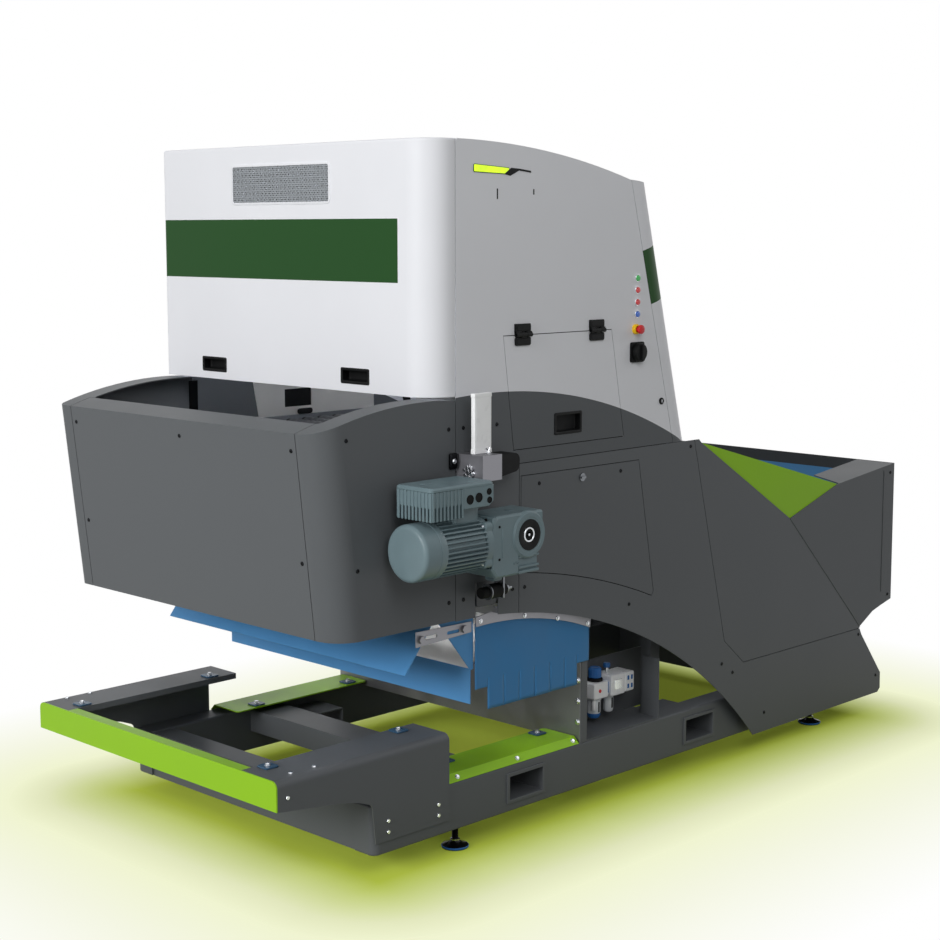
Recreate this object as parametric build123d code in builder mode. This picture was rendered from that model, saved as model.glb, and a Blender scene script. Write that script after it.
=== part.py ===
from build123d import *
import os
from math import atan2, degrees, hypot

os.makedirs("parts", exist_ok=True)

# A free-standing optical grader for round crops, in millimetres with +Z up.
# Sizes are measured from the front feet (x, towards the infeed hopper), from the
# centre plane (y, the drive side is negative) and from the floor (z).

# Sheet metal common to the whole casing
half_width = 740.0
sheet = 4.0
seam_gap = 3.0
strap_width = 40.0
strap_thick = 4.0
far_corner = 25.0
tub_strap_low, tub_strap_high = 900.0, 1480.0
panel_inner = half_width - sheet
strap_inner = panel_inner - strap_thick

# Overall reach, which sets the middle of the footprint
dock_front = -857.0
hopper_tail = 2705.0
motor_y = half_width + 120.0
motor_radius = 96.0
near_reach = motor_y + motor_radius
wing_reach = half_width + 40.0
origin_x = (dock_front + hopper_tail) / 2
origin_y = (wing_reach - near_reach) / 2

# Base frame
foot_y = half_width - 100.0
feet_x = (0.0, 2240.0)
beam_width = 100.0
beam_bottom = 85.0
beam_top = 260.0
beam_front = -437.0
beam_rear = 2500.0
beam_wall = 6.0
beam_round = 8.0
beam_corner = 30.0
cross_wall = 6.0
beam_outer = foot_y + beam_width / 2
beam_inner = foot_y - beam_width / 2
# Cross beams: middle, depth along the machine, lower and upper faces
cross_rows = (
    (beam_front + 60.0, 100.0, beam_bottom, beam_top - 5.0),
    (125.0, 150.0, 165.0, beam_top - 5.0),
    (1140.0, 80.0, 165.0, beam_top - 5.0),
    (beam_rear - 60.0, 100.0, beam_bottom, beam_top - 5.0),
)
pocket_xs = (317.0, 1357.0)
pocket_length = 188.0
pocket_height = 98.0
pocket_z = 174.0
pocket_wall = 5.0
pocket_proud = 6.0
pocket_rim = 8.0

# Levelling feet
foot_radius = 50.0
foot_base = 12.0
foot_cone = 20.0
foot_neck = 17.0
stem_radius = 12.0
nut_height = 12.0
nut_radius = 21.0
bolt_clearance = 0.3

# Docking frame in front
dock_sheet = 5.0
dock_top = 445.0
dock_face = beam_outer + dock_sheet
dock_bend = 25.0
dock_flange_inner = beam_inner - 80.0
dock_lip = 22.0
dock_rear = -82.0
dock_bottom = 131.0
dock_curve = ((-608.0, 316.0), (-507.0, 296.0), (-446.0, 272.0), (-430.0, 126.0))
dock_bar_bottom = 345.0
dock_bar_lip = 45.0
dock_web_bolts = ((-376.0, 202.0), (-376.0, 163.0), (-138.0, 202.0), (-138.0, 163.0), (-813.0, 386.0))
dock_flange_bolts = (-765.0, -665.0)
dock_flange_bolt_y = foot_y + 15.0

# Green covers on the beams
cover_front = -75.0
cover_rear = 614.0
cover_rise = 25.0
cover_sheet = 5.0
cover_inner = beam_inner - 80.0
cover_band_bolts = (-26.0, 283.0, 590.0)
pad_radius = 30.0
pad_height = 9.0
pad_y = beam_inner - 45.0
dock_pads = (-770.0, -185.0)
cover_pads = (46.0, 537.0)
bolt_head_radius = 9.0
bolt_head_height = 6.0
bolt_radius = 5.0

# Front bulkhead, valve bay and air unit
bulkhead_x = 620.0
bulkhead_thick = 4.0
bulkhead_top = 735.0
post_depth = 41.0
post_set_back = 50.0
bay_length = 471.0
bay_height = 245.0
bay_depth = 190.0
bay_end_depth = 86.0
bay_lip = 34.0
bay_back_reach = 135.0
air_depth = 90.0
air_left_x = 867.0
air_right_x = 993.0
air_body_z = 407.0
air_body_height = 84.0
filter_width, manifold_width, manifold_extra = 96.0, 130.0, 14.0
air_link_width = 40.0
bowl_radius, bowl_height, bowl_round = 30.0, 86.0, 12.0
bowl_offsets = (35.0, -20.0)
cap_offset = -55.0
knob_stem, knob_stem_length = 8.0, 24.0
knob_flutes, flute_radius = 12, 2.0
knob_radius = 26.0
knob_height = 38.0

# Inner frame
post_rear_x = 1128.0
post_rear_depth = 55.0
post_rear_set_back = 50.0
post_rear_top = 1200.0
post_tail_x = 2140.0
post_tail_depth = 80.0
post_tail_top = 540.0
post_wall = 5.0
post_rear_bracket_z = 620.0
post_tail_bracket_z = 320.0
cheek_bracket = 36.0
cheek_bracket_x, cheek_bracket_z = -52.0, 880.0
tie_height = 80.0
tie_front_top = 1300.0
tie_rear_top = 1080.0

# Conveyor
head_x, head_z = -60.0, 1390.0
drive_x, drive_z = 62.0, 1162.0
idler_x, idler_z = 62.0, 935.0
tail_x, tail_z = 2270.0, 575.0
knee_x = 640.0
roller_line = 1424.0
roller_radius = 27.0
roller_pitch = 80.0
roller_half = half_width - 285.0
rail_thick = 10.0
rail_above = 36.0
rail_below = 85.0
rail_tail_gap = 30.0
shaft_radius = 20.0
shaft_end = strap_inner - 4.0
sprocket_radius = 60.0
chain_thick = 12.0
chain_width = 12.0
chain_y = roller_half + 19.0
chain_slack = 0.6
drive_sprocket_radius = 45.0
drive_chain_y = chain_y + 120.0
bearing_size = 100.0
bearing_depth = 42.0
bearing_round = 15.0
running_clearance = 0.05

# Drive unit on the near side
motor_z = 1150.0
motor_core = 82.0
motor_front = -440.0
fan_cover_length = 100.0
motor_rear = -115.0
shield_length = 35.0
shield_lobes, shield_lobe = 4, 17.0
fan_cover_wall = 3.0
fan_cover_round = 18.0
fan_cover_lap = 8.0
motor_fins, motor_fin = 28, 4.0
neck_x, neck_length, neck_width, neck_low = -205.0, 120.0, 90.0, 76.0
rotor_radius, rotor_inset, rotor_end_gap = 14.0, 20.0, 0.5
fan_start, fan_plate, fan_depth = 34.0, 4.0, 40.0
fan_tip_gap, fan_blades, fan_blade = 16.0, 8, 3.0
inverter_front = -408.0
inverter_rear = -118.0
inverter_top = 1368.0
inverter_split = 1302.0
inverter_bottom = 1256.0
inverter_half = 86.0
inverter_round = 14.0
inverter_fin_pitch, inverter_fin, inverter_fin_depth = 20.0, 5.0, 40.0
plug_depth = 6.0
plug_large = ((-190.0, 1330.0), (-164.0, 1332.0))
plug_large_radius = 11.5
plug_small = ((-135.0, 1344.0), (-135.0, 1322.0))
plug_small_radius = 8.5
gear_rear = 138.0
gear_half = 75.0
gear_top = 1240.0
gear_bottom = 1030.0
gear_round = 12.0
gear_step, gear_step_z, gear_shoulder_z = 18.0, 1100.0, 1140.0
input_toe, input_rise, input_drop = 25.0, 30.0, 30.0
rib_left, rib_low, rib_high, rib_depth, rib_thick = 18.0, 1052.0, 1088.0, 14.0, 9.0
gear_cover_thick = 6.0
gear_cover_radius = 76.0
hollow_radius = 27.0
spigot_radius = 70.0
spigot_bore = 40.0

# Lubricator, its bracket and the guard beside it
lube_x = -31.0
lube_y = -half_width - 60.0
lube_width = 84.0
lube_depth = 20.0
lube_height = 205.0
lube_round = 6.0
lube_top_round = 8.0
bracket_left = -89.0
bracket_right = 4.0
bracket_low = 1350.0
bracket_high = 1437.0
bracket_depth = 124.0
bracket_bolt_z = 1379.0
bracket_nuts, bracket_nut, bracket_nut_circle, bracket_nut_depth = 5, 8.0, 18.0, 10.0
guard_right = 150.0
guard_low = 1340.0
guard_rise = 23.0
guard_high = 1425.0
guard_depth = 70.0
guard_round = 25.0

# Tub round the discharge end
tub_low_x = -630.0
tub_low_z = 857.0
tub_lean = 0.1094
tub_corner = 100.0
tub_seam_near = half_width - 114.0
tub_seam_far = half_width - 76.0
rim_peak_x, rim_peak_z = -220.0, 1622.0
rim_radius = 1550.0
rim_flange = 95.0
mouth_corner = 20.0

# Hood
hood_front_x = -218.0
hood_seam_x = -95.0
hood_bottom = 1630.0
hood_top = 2490.0
hood_corner = 110.0
rear_corner = 105.0
roof_radius = 3600.0
belt_line = 1372.0
rear_seam_top = (826.0, hood_top - 118.0)
rear_seam_low = (1097.0, belt_line)
rear_face_top = (966.0, hood_top - 130.0)
rear_face_low = (1222.0, belt_line)
rear_open = 40.0
hinge_rod_radius = 3.0
hinge_knuckle = 6.0
hinge_z = hood_top - 2.0
hinge_rod_length = 1000.0
knuckle_ys = (-450.0, -150.0, 150.0, 450.0)
lug_ys = (-300.0, 0.0, 300.0)
lug_reach = 16.0
rear_strap_top = hood_top - 180.0
vent_y, vent_z = 28.0, hood_top - 139.0
vent_width, vent_height = 540.0, 132.0
vent_columns, vent_rows = 24, 6
vent_hole = 15.0
grip_width, grip_height, grip_depth = 140.0, 48.0, 34.0
grip_ys = (-370.0, 428.0)
grip_z = 1685.0

# Side door on the near side, with a hinge along its top edge
door_gap = 3.0
door_outline = ((138.0, 1826.0), (720.0, 1826.0), (798.0, 1420.0), (192.0, 1420.0))
door_hinge_xs = (234.0, 631.0)
leaf_width = 80.0
leaf_height = 28.0
leaf_thick = 4.0
knuckle_radius = 8.0
pin_radius = 4.0
door_axis_y = half_width + 9.0
door_axis_z = 1826.0
door_grip = (480.0, 1497.0)
door_grip_width, door_grip_height, door_grip_depth = 142.0, 72.0, 28.0

# Lower side panels
drive_seam_x = 223.0
arch = ((-110.0, 853.0), (830.0, 674.0), (1668.0, 86.0))
skirt_bottom = 85.0
hopper_seam = ((1240.0, 1345.0), (1456.0, 524.0), (1590.0, 413.0), (2473.0, 413.0))
skirt_outline = ((2490.0, 380.0), (2658.0, 175.0), (2660.0, 102.0), (2640.0, skirt_bottom))
access_outline = ((231.0, 1328.0), (889.0, 1325.0), (988.0, 802.0), (976.0, 784.0))
access_curve = ((976.0, 784.0), (667.0, 889.0), (231.0, 978.0))
notch_left, notch_right, notch_top = 0.0, 118.0, 975.0
drive_strap_low = 860.0
access_lap = 12.0
belt_step = 6.0
rear_sheet_lift = 15.0

# Hopper at the infeed end
hopper_tip = (1276.0, 1357.0)
tip_step = 14.0
fold_high = (1904.0, 978.0)
fold_low = (2473.0, 420.0)
wing_high = (2233.0, 1094.0)
wing_top_x, wing_top_z = 2657.0, 1149.0
wing_low_z = 516.0
wing_notch = ((2626.0, 495.0), (2567.0, 477.0))
wing_flange, wing_flange_start, wing_flange_cut = 190.0, 12.0, 0.2
liner_top_z = 1095.0
liner_low = (2420.0, 745.0)
liner_thick = 5.0
liner_half = half_width - 12.0

# Controls on the hood side
button_x = 864.0
switch_x, switch_z = 864.0, hood_top - 756.0
button_zs = (hood_top - 480.0, hood_top - 524.0, hood_top - 569.0, hood_top - 614.0)
bezel_radius, bezel_height = 14.5, 5.0
cap_radius, cap_height = 11.0, 6.0
cap_lift, cap_round = 4.0, 1.5
stop_x, stop_z = 856.0, hood_top - 670.0
collar_radius, collar_height, collar_round = 19.0, 14.0, 2.0
stop_stem, stop_head, stop_head_height, stop_lift, stop_round = 10.0, 17.0, 14.0, 8.0, 6.0
switch_plate, switch_plate_thick, switch_plate_round = 76.0, 8.0, 8.0
switch_radius, switch_height = 34.0, 20.0
switch_grip, switch_grip_height, switch_grip_inset = 14.0, 30.0, 2.0
lock_x, lock_z, lock_radius, lock_proud = 1017.0, 1539.0, 13.0, 6.0
key_slot, key_depth = 4.0, 3.0
latch_x, latch_z, latch_radius, latch_plate = 560.0, 1290.0, 15.0, 4.0
strip_outline = ((-10.0, hood_top - 109.0), (142.0, hood_top - 113.0), (176.0, hood_top - 91.0),
                 (-10.0, hood_top - 81.0))
wedge_outline = (strip_outline[2], strip_outline[1], (171.0, hood_top - 118.0), (215.0, hood_top - 99.0),
                 (275.0, hood_top - 105.0), (275.0, hood_top - 99.0), (215.0, hood_top - 93.0))
strip_thick, strip_round = 4.0, 5.0

# Panel screws on the near side
screw_radius, screw_height = 7.5, 3.0
side_screws = (
    (-127.0, 1521.0), (-57.0, 1521.0), (108.0, 1520.0), (-127.0, 924.0), (-57.0, 925.0),
    (190.0, 926.0), (253.0, 925.0), (840.0, 772.0), (1746.0, 167.0), (1208.0, 1347.0),
    (1440.0, 431.0), (1515.0, 382.0), (2465.0, 384.0), (2620.0, 168.0), (328.0, 1291.0), (781.0, 1292.0),
    (-587.0, 1521.0), (-543.0, 1092.0),
)
wing_screws = ((2630.0, 1108.0), (2676.0, 540.0))
tub_screw_zs = (1114.0, 1486.0)
tub_screw_inset = 26.0

# Blue chutes under the tub
chute_half = half_width - 65.0
cheek_gap = 7.0
cheek_thick = 4.0
chute_sheet = 4.0
flap_axis_x, flap_axis_z = -100.0, 882.0
flap_lip_x, flap_lip_z = -264.0, 674.0
flap_rod = 8.0
flap_hub = 14.0
lip_x, lip_low, lip_high = 33.0, 526.0, 649.0
slide_top, slide_thick = (230.0, 800.0), 4.4
cheek_lap, cheek_shoulder, cheek_top = 12.0, 840.0, 905.0
cheek_toe, cheek_step, cheek_front_low = 30.0, 60.0, 850.0
adjuster_left, adjuster_low, adjuster_high = -235.0, 776.0, 830.0
adjuster_toe, adjuster_heel = 12.0, 4.0
adjuster_slots, adjuster_slot, adjuster_slot_width = (-165.0, -57.0), 60.0, 12.0
adjuster_nuts, adjuster_nut, adjuster_nut_depth = ((-215.0, 802.0), (-7.0, 806.0)), 14.0, 12.0

# Blue slit curtain and its arched strip
curtain_y = half_width - 46.0
curtain_thick = 4.0
strip_lap, strip_lap_left = 40.0, 8.0
curtain_lap = 12.0
clip_places, clip_width, clip_height = ((140.0, 857.0), (520.0, 806.0)), 30.0, 20.0
curtain_left, curtain_right = 47.0, 660.0
curtain_low, curtain_end_low = 495.0, 577.0
curtain_steps = (111.0, 592.0)
curtain_arc = ((47.0, 805.0), (290.0, 797.0), (660.0, 704.0))
band_arc = ((45.0, 831.0), (290.0, 810.0), (666.0, 724.0))
slit_first, slit_pitch, slit_count, slit_width, slit_top = 195.0, 82.0, 5, 3.0, 610.0

# Sorting and viewing gear
finger_bar_x, finger_bar_z, finger_bar_radius = -330.0, 1330.0, 18.0
finger_hub = 28.0
finger_count, finger_width, finger_length, finger_thick = 16, 64.0, 165.0, 8.0
finger_rake, finger_sleeve = 20.0, 24.0
finger_pitch = 2 * (half_width - 68.0) / finger_count
camera_beam_x, camera_beam_z, camera_beam_size = 320.0, hood_top - 250.0, 60.0
camera_count, camera_pitch = 3, 420.0
camera_body, camera_length = 60.0, 100.0
lens_radius, lens_length = 24.0, 50.0
lamp_xs, lamp_z, lamp_width, lamp_height = (60.0, 600.0), hood_top - 410.0, 90.0, 50.0
guide_y = roller_half + 5.0
guide_thick = 3.0
guide_top = 1720.0
guide_rear = 620.0
guide_front, guide_nose, guide_nose_rise = 15.0, -10.0, 135.0
window_x, window_rise, window_length, window_height = 214.0, 68.0, 138.0, 71.0


def level(z):
    """Plane at height z, with the machine's own x and y."""
    return Plane(origin=(-origin_x, -origin_y, z))


def along(y):
    """Upright plane along the machine at y, facing the near side: its axes are x and z."""
    return Plane(origin=(-origin_x, y - origin_y, 0), x_dir=(1, 0, 0), z_dir=(0, -1, 0))


def across(x):
    """Upright plane across the machine at x, facing the infeed: its axes are y and z."""
    return Plane(origin=(x - origin_x, -origin_y, 0), x_dir=(0, 1, 0), z_dir=(1, 0, 0))


def at(x, y, z):
    """Point given from the front feet, centre plane and floor."""
    return Vector(x - origin_x, y - origin_y, z)


machine = level(0)
centre_plane = along(0)


def save(piece, name):
    """Label a finished piece and write it."""
    piece.part.label = name
    export_step(piece.part, "parts/" + name + ".step")


def corner(sketch, x, z):
    """The vertex of a sketch that is nearest to a point."""
    return sketch.vertices().sort_by_distance((x, z, 0))[0]


def roof_z(x, depth=0.0):
    """Height of the roof arc at x, that much below its outer face."""
    radius = roof_radius - depth
    return hood_top - roof_radius + (radius**2 - (x - hood_seam_x) ** 2) ** 0.5


def rim_z(x):
    """Height of the tub's outer rim at x."""
    return rim_peak_z - rim_radius + (rim_radius**2 - (x - rim_peak_x) ** 2) ** 0.5


def tub_x(z):
    """Outer face of the leaning tub end at height z."""
    return tub_low_x - (z - tub_low_z) * tub_lean


def rear_seam_x(z):
    """Seam between the hood side and the rear cover at height z."""
    share = (z - rear_seam_low[1]) / (rear_seam_top[1] - rear_seam_low[1])
    return rear_seam_low[0] + share * (rear_seam_top[0] - rear_seam_low[0])


def end_wall_x(z):
    """Outer face of the leaning hopper end wall at height z."""
    share = (z - wing_low_z) / (wing_top_z - wing_low_z)
    return hopper_tail + share * (wing_top_x - hopper_tail)


# Base: side beams with fork pockets, cross beams and feet
beam_length = beam_rear - beam_front
beam_height = beam_top - beam_bottom
beam_mid = (beam_front + beam_rear) / 2
beam_mid_z = (beam_bottom + beam_top) / 2

with BuildPart(machine) as base_beams:
    with Locations((beam_mid, -foot_y, beam_mid_z)):
        Box(beam_length, beam_width, beam_height)
    fillet(base_beams.edges().filter_by(Axis.Z).group_by(Axis.X)[0].sort_by(Axis.Y)[0], beam_corner)
    fillet(base_beams.edges().filter_by(Axis.X), beam_round)
    with BuildSketch(level(beam_bottom + beam_wall)) as beam_hollow:
        with Locations((beam_mid, -foot_y)):
            Rectangle(beam_length - 2 * beam_wall, beam_width - 2 * beam_wall)
        fillet(corner(beam_hollow, beam_front + beam_wall, beam_wall - beam_outer), beam_corner - beam_wall)
    extrude(amount=beam_height - 2 * beam_wall, mode=Mode.SUBTRACT)
    with Locations(*[(x, -foot_y, pocket_z) for x in pocket_xs]):
        Box(pocket_length, 2 * beam_width, pocket_height, mode=Mode.SUBTRACT)
    mirror(about=centre_plane)
save(base_beams, "base_beams")

with BuildPart(machine) as cross_beams:
    for x, depth, low, high in cross_rows:
        with Locations((x, 0, (low + high) / 2)):
            Box(depth, 2 * beam_inner, high - low)
            Box(depth - 2 * cross_wall, 2 * beam_inner, high - low - 2 * cross_wall, mode=Mode.SUBTRACT)
save(cross_beams, "cross_beams")

with BuildPart(machine) as fork_pockets:
    with Locations(*[(x, side * foot_y, pocket_z) for x in pocket_xs for side in (-1, 1)]):
        Box(pocket_length, beam_width + 2 * pocket_proud, pocket_height)
    with Locations(*[(x, side * (beam_outer + pocket_proud / 2), pocket_z)
                     for x in pocket_xs for side in (-1, 1)]):
        Box(pocket_length + 2 * pocket_rim, pocket_proud, pocket_height + 2 * pocket_rim)
    with Locations(*[(x, side * foot_y, pocket_z) for x in pocket_xs for side in (-1, 1)]):
        Box(pocket_length - 2 * pocket_wall, beam_width + 4 * pocket_proud, pocket_height - 2 * pocket_wall,
            mode=Mode.SUBTRACT)
save(fork_pockets, "fork_pockets")

foot_places = [(x, side * foot_y) for x in feet_x for side in (-1, 1)]
foot_height = foot_base + foot_cone
upward = (Align.CENTER, Align.CENTER, Align.MIN)
with BuildPart(machine) as foot_pads:
    with Locations(*foot_places):
        Cylinder(foot_radius, foot_base, align=upward)
    with Locations(*[(x, y, foot_base) for x, y in foot_places]):
        Cone(foot_radius, foot_neck, foot_cone, align=upward)
save(foot_pads, "foot_pads")

# Docking frame: bent side plates, green front bar, green beam covers and round pads
with BuildPart() as dock_plates:
    with BuildSketch(across(dock_front + dock_sheet)) as dock_section:
        Polygon(
            (-dock_face, dock_bottom), (-dock_face, dock_top),
            (-dock_flange_inner, dock_top), (-dock_flange_inner, dock_top - dock_lip),
            (-dock_flange_inner - dock_sheet, dock_top - dock_lip),
            (-dock_flange_inner - dock_sheet, dock_top - dock_sheet),
            (-beam_outer, dock_top - dock_sheet), (-beam_outer, dock_bottom),
        )
        fillet(corner(dock_section, -dock_face, dock_top), dock_bend)
        fillet(corner(dock_section, -beam_outer, dock_top - dock_sheet), dock_bend - dock_sheet)
    extrude(amount=dock_rear - dock_front - dock_sheet)
    with BuildSketch(along(-dock_face)) as dock_cutaway:
        Polygon((dock_front - dock_sheet, dock_bar_bottom), *dock_curve,
                (dock_front - dock_sheet, dock_curve[-1][1]))
        fillet(corner(dock_cutaway, *dock_curve[2]), dock_bend)
    extrude(amount=dock_bend, both=True, mode=Mode.SUBTRACT)
    with BuildSketch(along(-dock_face)):
        with Locations(*dock_web_bolts):
            Circle(bolt_radius + bolt_clearance)
    extrude(amount=-dock_sheet, mode=Mode.SUBTRACT)
    with BuildSketch(level(dock_top)):
        with Locations(*[(x, -dock_flange_bolt_y) for x in dock_flange_bolts]):
            Circle(bolt_radius + bolt_clearance)
    extrude(amount=-dock_sheet, mode=Mode.SUBTRACT)
    mirror(about=centre_plane)
save(dock_plates, "dock_plates")

with BuildPart(machine) as dock_bar:
    with BuildSketch(across(dock_front)) as bar_face:
        Polygon((-dock_face, dock_bar_bottom), (dock_face, dock_bar_bottom), (dock_face, dock_top),
                (-dock_face, dock_top))
        fillet(bar_face.vertices().group_by(Axis.Y)[-1], dock_bend)
    extrude(amount=dock_sheet)
    with Locations((dock_front + dock_bar_lip / 2, 0, dock_top - dock_sheet / 2)):
        Box(dock_bar_lip, 2 * (dock_flange_inner - seam_gap / 6), dock_sheet)
save(dock_bar, "dock_bar")

cover_top = beam_top + cover_rise
cover_slant = cover_sheet * 2**0.5
with BuildPart(machine) as guide_covers:
    with BuildSketch(across(cover_front)):
        Polygon(
            (-beam_outer, beam_top), (-beam_outer + cover_rise, cover_top), (-cover_inner, cover_top),
            (-cover_inner, cover_top - cover_sheet),
            (-beam_outer + cover_slant + cover_rise - cover_sheet, cover_top - cover_sheet),
            (-beam_outer + cover_slant, beam_top),
        )
    extrude(amount=cover_rear - cover_front)
    with Locations(*[(x, -foot_y, (beam_top + cover_top - cover_sheet) / 2) for x in cover_pads]):
        Box(2 * pad_radius, beam_width / 3, cover_rise - cover_sheet)
    fillet(guide_covers.edges().filter_by(Axis.Z).sort_by(Axis.Y)[-2:], pad_radius / 2)
    mirror(about=centre_plane)
save(guide_covers, "guide_covers")

pad_places = [(x, side * pad_y, dock_top) for x in dock_pads for side in (-1, 1)]
pad_places += [(x, side * pad_y, cover_top) for x in cover_pads for side in (-1, 1)]
with BuildPart(machine) as guide_pads:
    with Locations(*pad_places):
        Cylinder(pad_radius, pad_height, align=upward)
    chamfer(guide_pads.edges().filter_by(GeomType.CIRCLE).filter_by(
        lambda edge: edge.center().Z > dock_top + pad_height / 2
        or cover_top + pad_height / 2 < edge.center().Z < dock_top - pad_height), pad_height / 3)
save(guide_pads, "guide_pads")

# Steel fasteners of the base: web bolts, flange and pad bolts, band bolts, foot stems and jam nuts
with BuildPart(machine) as base_bolts:
    for side in (-1, 1):
        with BuildSketch(along(side * dock_face)):
            with Locations(*dock_web_bolts):
                Circle(bolt_head_radius)
        extrude(amount=-side * bolt_head_height)
        with BuildSketch(along(side * dock_face)):
            with Locations(*dock_web_bolts):
                Circle(bolt_radius)
        extrude(amount=side * dock_sheet)
        for x in cover_band_bolts:
            band_middle = at(x, side * (beam_outer - cover_rise / 2), beam_top + cover_rise / 2)
            with BuildSketch(Plane(origin=band_middle, x_dir=(1, 0, 0), z_dir=(0, side, 1))):
                Circle(bolt_head_radius)
            extrude(amount=bolt_head_height)
    with BuildSketch(level(dock_top)):
        with Locations(*[(x, side * dock_flange_bolt_y) for x in dock_flange_bolts for side in (-1, 1)]):
            RegularPolygon(bolt_head_radius, 6)
    extrude(amount=bolt_head_height)
    with BuildSketch(level(dock_top)):
        with Locations(*[(x, side * dock_flange_bolt_y) for x in dock_flange_bolts for side in (-1, 1)]):
            Circle(bolt_radius)
    extrude(amount=-dock_sheet)
    with Locations(*[(x, y, z + pad_height) for x, y, z in pad_places]):
        Cylinder(bolt_head_radius, bolt_head_height, align=upward)
    with Locations(*[(x, y, foot_height) for x, y in foot_places]):
        Cylinder(stem_radius, beam_bottom - foot_height, align=upward)
    with BuildSketch(level(beam_bottom)):
        with Locations(*foot_places):
            RegularPolygon(nut_radius, 6)
            Circle(stem_radius + bolt_clearance, mode=Mode.SUBTRACT)
    extrude(amount=-nut_height)
save(base_bolts, "base_bolts")

# Valve bay behind the bulkhead, open to the near side, with the air unit on its back wall
bay_left = bulkhead_x + bulkhead_thick
bay_mid = bay_left + bay_length / 2
with BuildPart(machine) as valve_bay:
    with Locations((bay_mid, -beam_outer + bay_depth / 2, beam_top + bay_height / 2)):
        Box(bay_length, bay_depth, bay_height)
    with Locations((bay_mid, -beam_outer + bay_depth / 2 - sheet, beam_top + bay_height / 2 + sheet)):
        Box(bay_length - 2 * sheet, bay_depth, bay_height, mode=Mode.SUBTRACT)
    with Locations((bay_left + bay_length, -beam_outer + (bay_end_depth + bay_depth - sheet) / 2,
                    beam_top + sheet + bay_height / 2)):
        Box(4 * sheet, bay_depth - sheet - bay_end_depth, bay_height, mode=Mode.SUBTRACT)
    with Locations((bay_left + bay_length + bay_back_reach / 2, -beam_outer + bay_depth - sheet / 2,
                    beam_top + bay_height / 2)):
        Box(bay_back_reach, sheet, bay_height)
    with Locations((bay_left + bay_lip / 2, -beam_outer + sheet / 2, (beam_top + bulkhead_top) / 2)):
        Box(bay_lip, sheet, bulkhead_top - beam_top)
save(valve_bay, "valve_bay")

air_back = -beam_outer + bay_depth - sheet
air_y = air_back - air_depth / 2
air_low = air_body_z - air_body_height / 2
air_high = air_body_z + air_body_height / 2
downward = (Align.CENTER, Align.CENTER, Align.MAX)
with BuildPart(machine) as air_unit:
    with Locations((air_left_x, air_y, air_body_z)):
        Box(filter_width, air_depth, air_body_height)
    with Locations((air_right_x, air_y, air_body_z)):
        Box(manifold_width, air_depth, air_body_height + manifold_extra)
    with Locations(((air_left_x + air_right_x + filter_width - manifold_width) / 2, air_y, air_body_z)):
        Box(air_link_width, air_depth / 2, air_depth / 2)
    with Locations((air_left_x + bowl_offsets[0], air_y, air_low),
                   (air_right_x + bowl_offsets[1], air_y, air_low)):
        Cylinder(bowl_radius, bowl_height, align=downward)
    with Locations((air_right_x + cap_offset, air_y, air_high + manifold_extra / 2)):
        Cylinder(knob_radius, knob_height, align=upward)
    fillet(air_unit.edges().filter_by(GeomType.CIRCLE).sort_by(Axis.Z)[:2], bowl_round)
    with Locations((air_left_x, air_y, air_high)):
        Cylinder(knob_stem + running_clearance, knob_stem_length + bolt_clearance, align=downward,
                 mode=Mode.SUBTRACT)
save(air_unit, "air_unit")

with BuildPart(machine) as regulator_knob:
    with Locations((air_left_x, air_y, air_high + bolt_clearance)):
        Cylinder(knob_radius, knob_height, align=upward)
        with PolarLocations(knob_radius, knob_flutes):
            Cylinder(flute_radius, knob_height, align=upward, mode=Mode.SUBTRACT)
    with Locations((air_left_x, air_y, air_high + bolt_clearance)):
        Cylinder(knob_stem, knob_stem_length, align=downward)
save(regulator_knob, "regulator_knob")

# Casing straps and brackets, posts, ties, bars and chain rails inside
slope = Vector(tail_x - knee_x, 0, tail_z + sprocket_radius - roller_line).normalized()
rise = Vector(-slope.Z, 0, slope.X)
incline = hypot(tail_x - knee_x, tail_z + sprocket_radius - roller_line)
cheek_inner = chute_half + cheek_gap
cheek_outer = cheek_inner + cheek_thick
knee = Vector(knee_x, 0, roller_line)


def on_line(run, height):
    """Point beside the inclined roller line: run from the knee and height above the line."""
    point = knee + slope * run + rise * height
    return (point.X, point.Z)


def rail_under(x):
    """Height of the underside of the inclined chain rail at x."""
    run = (x - knee_x + rise.X * rail_below) / slope.X
    return on_line(run, -rail_below)[1]


post_front = bay_left + sheet
post_back = post_front + post_depth
post_mid = (post_front + post_back) / 2
post_outer = beam_outer - post_set_back
post_top = belt_line + strap_width / 2
post_rear_outer = beam_outer - post_rear_set_back
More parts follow.
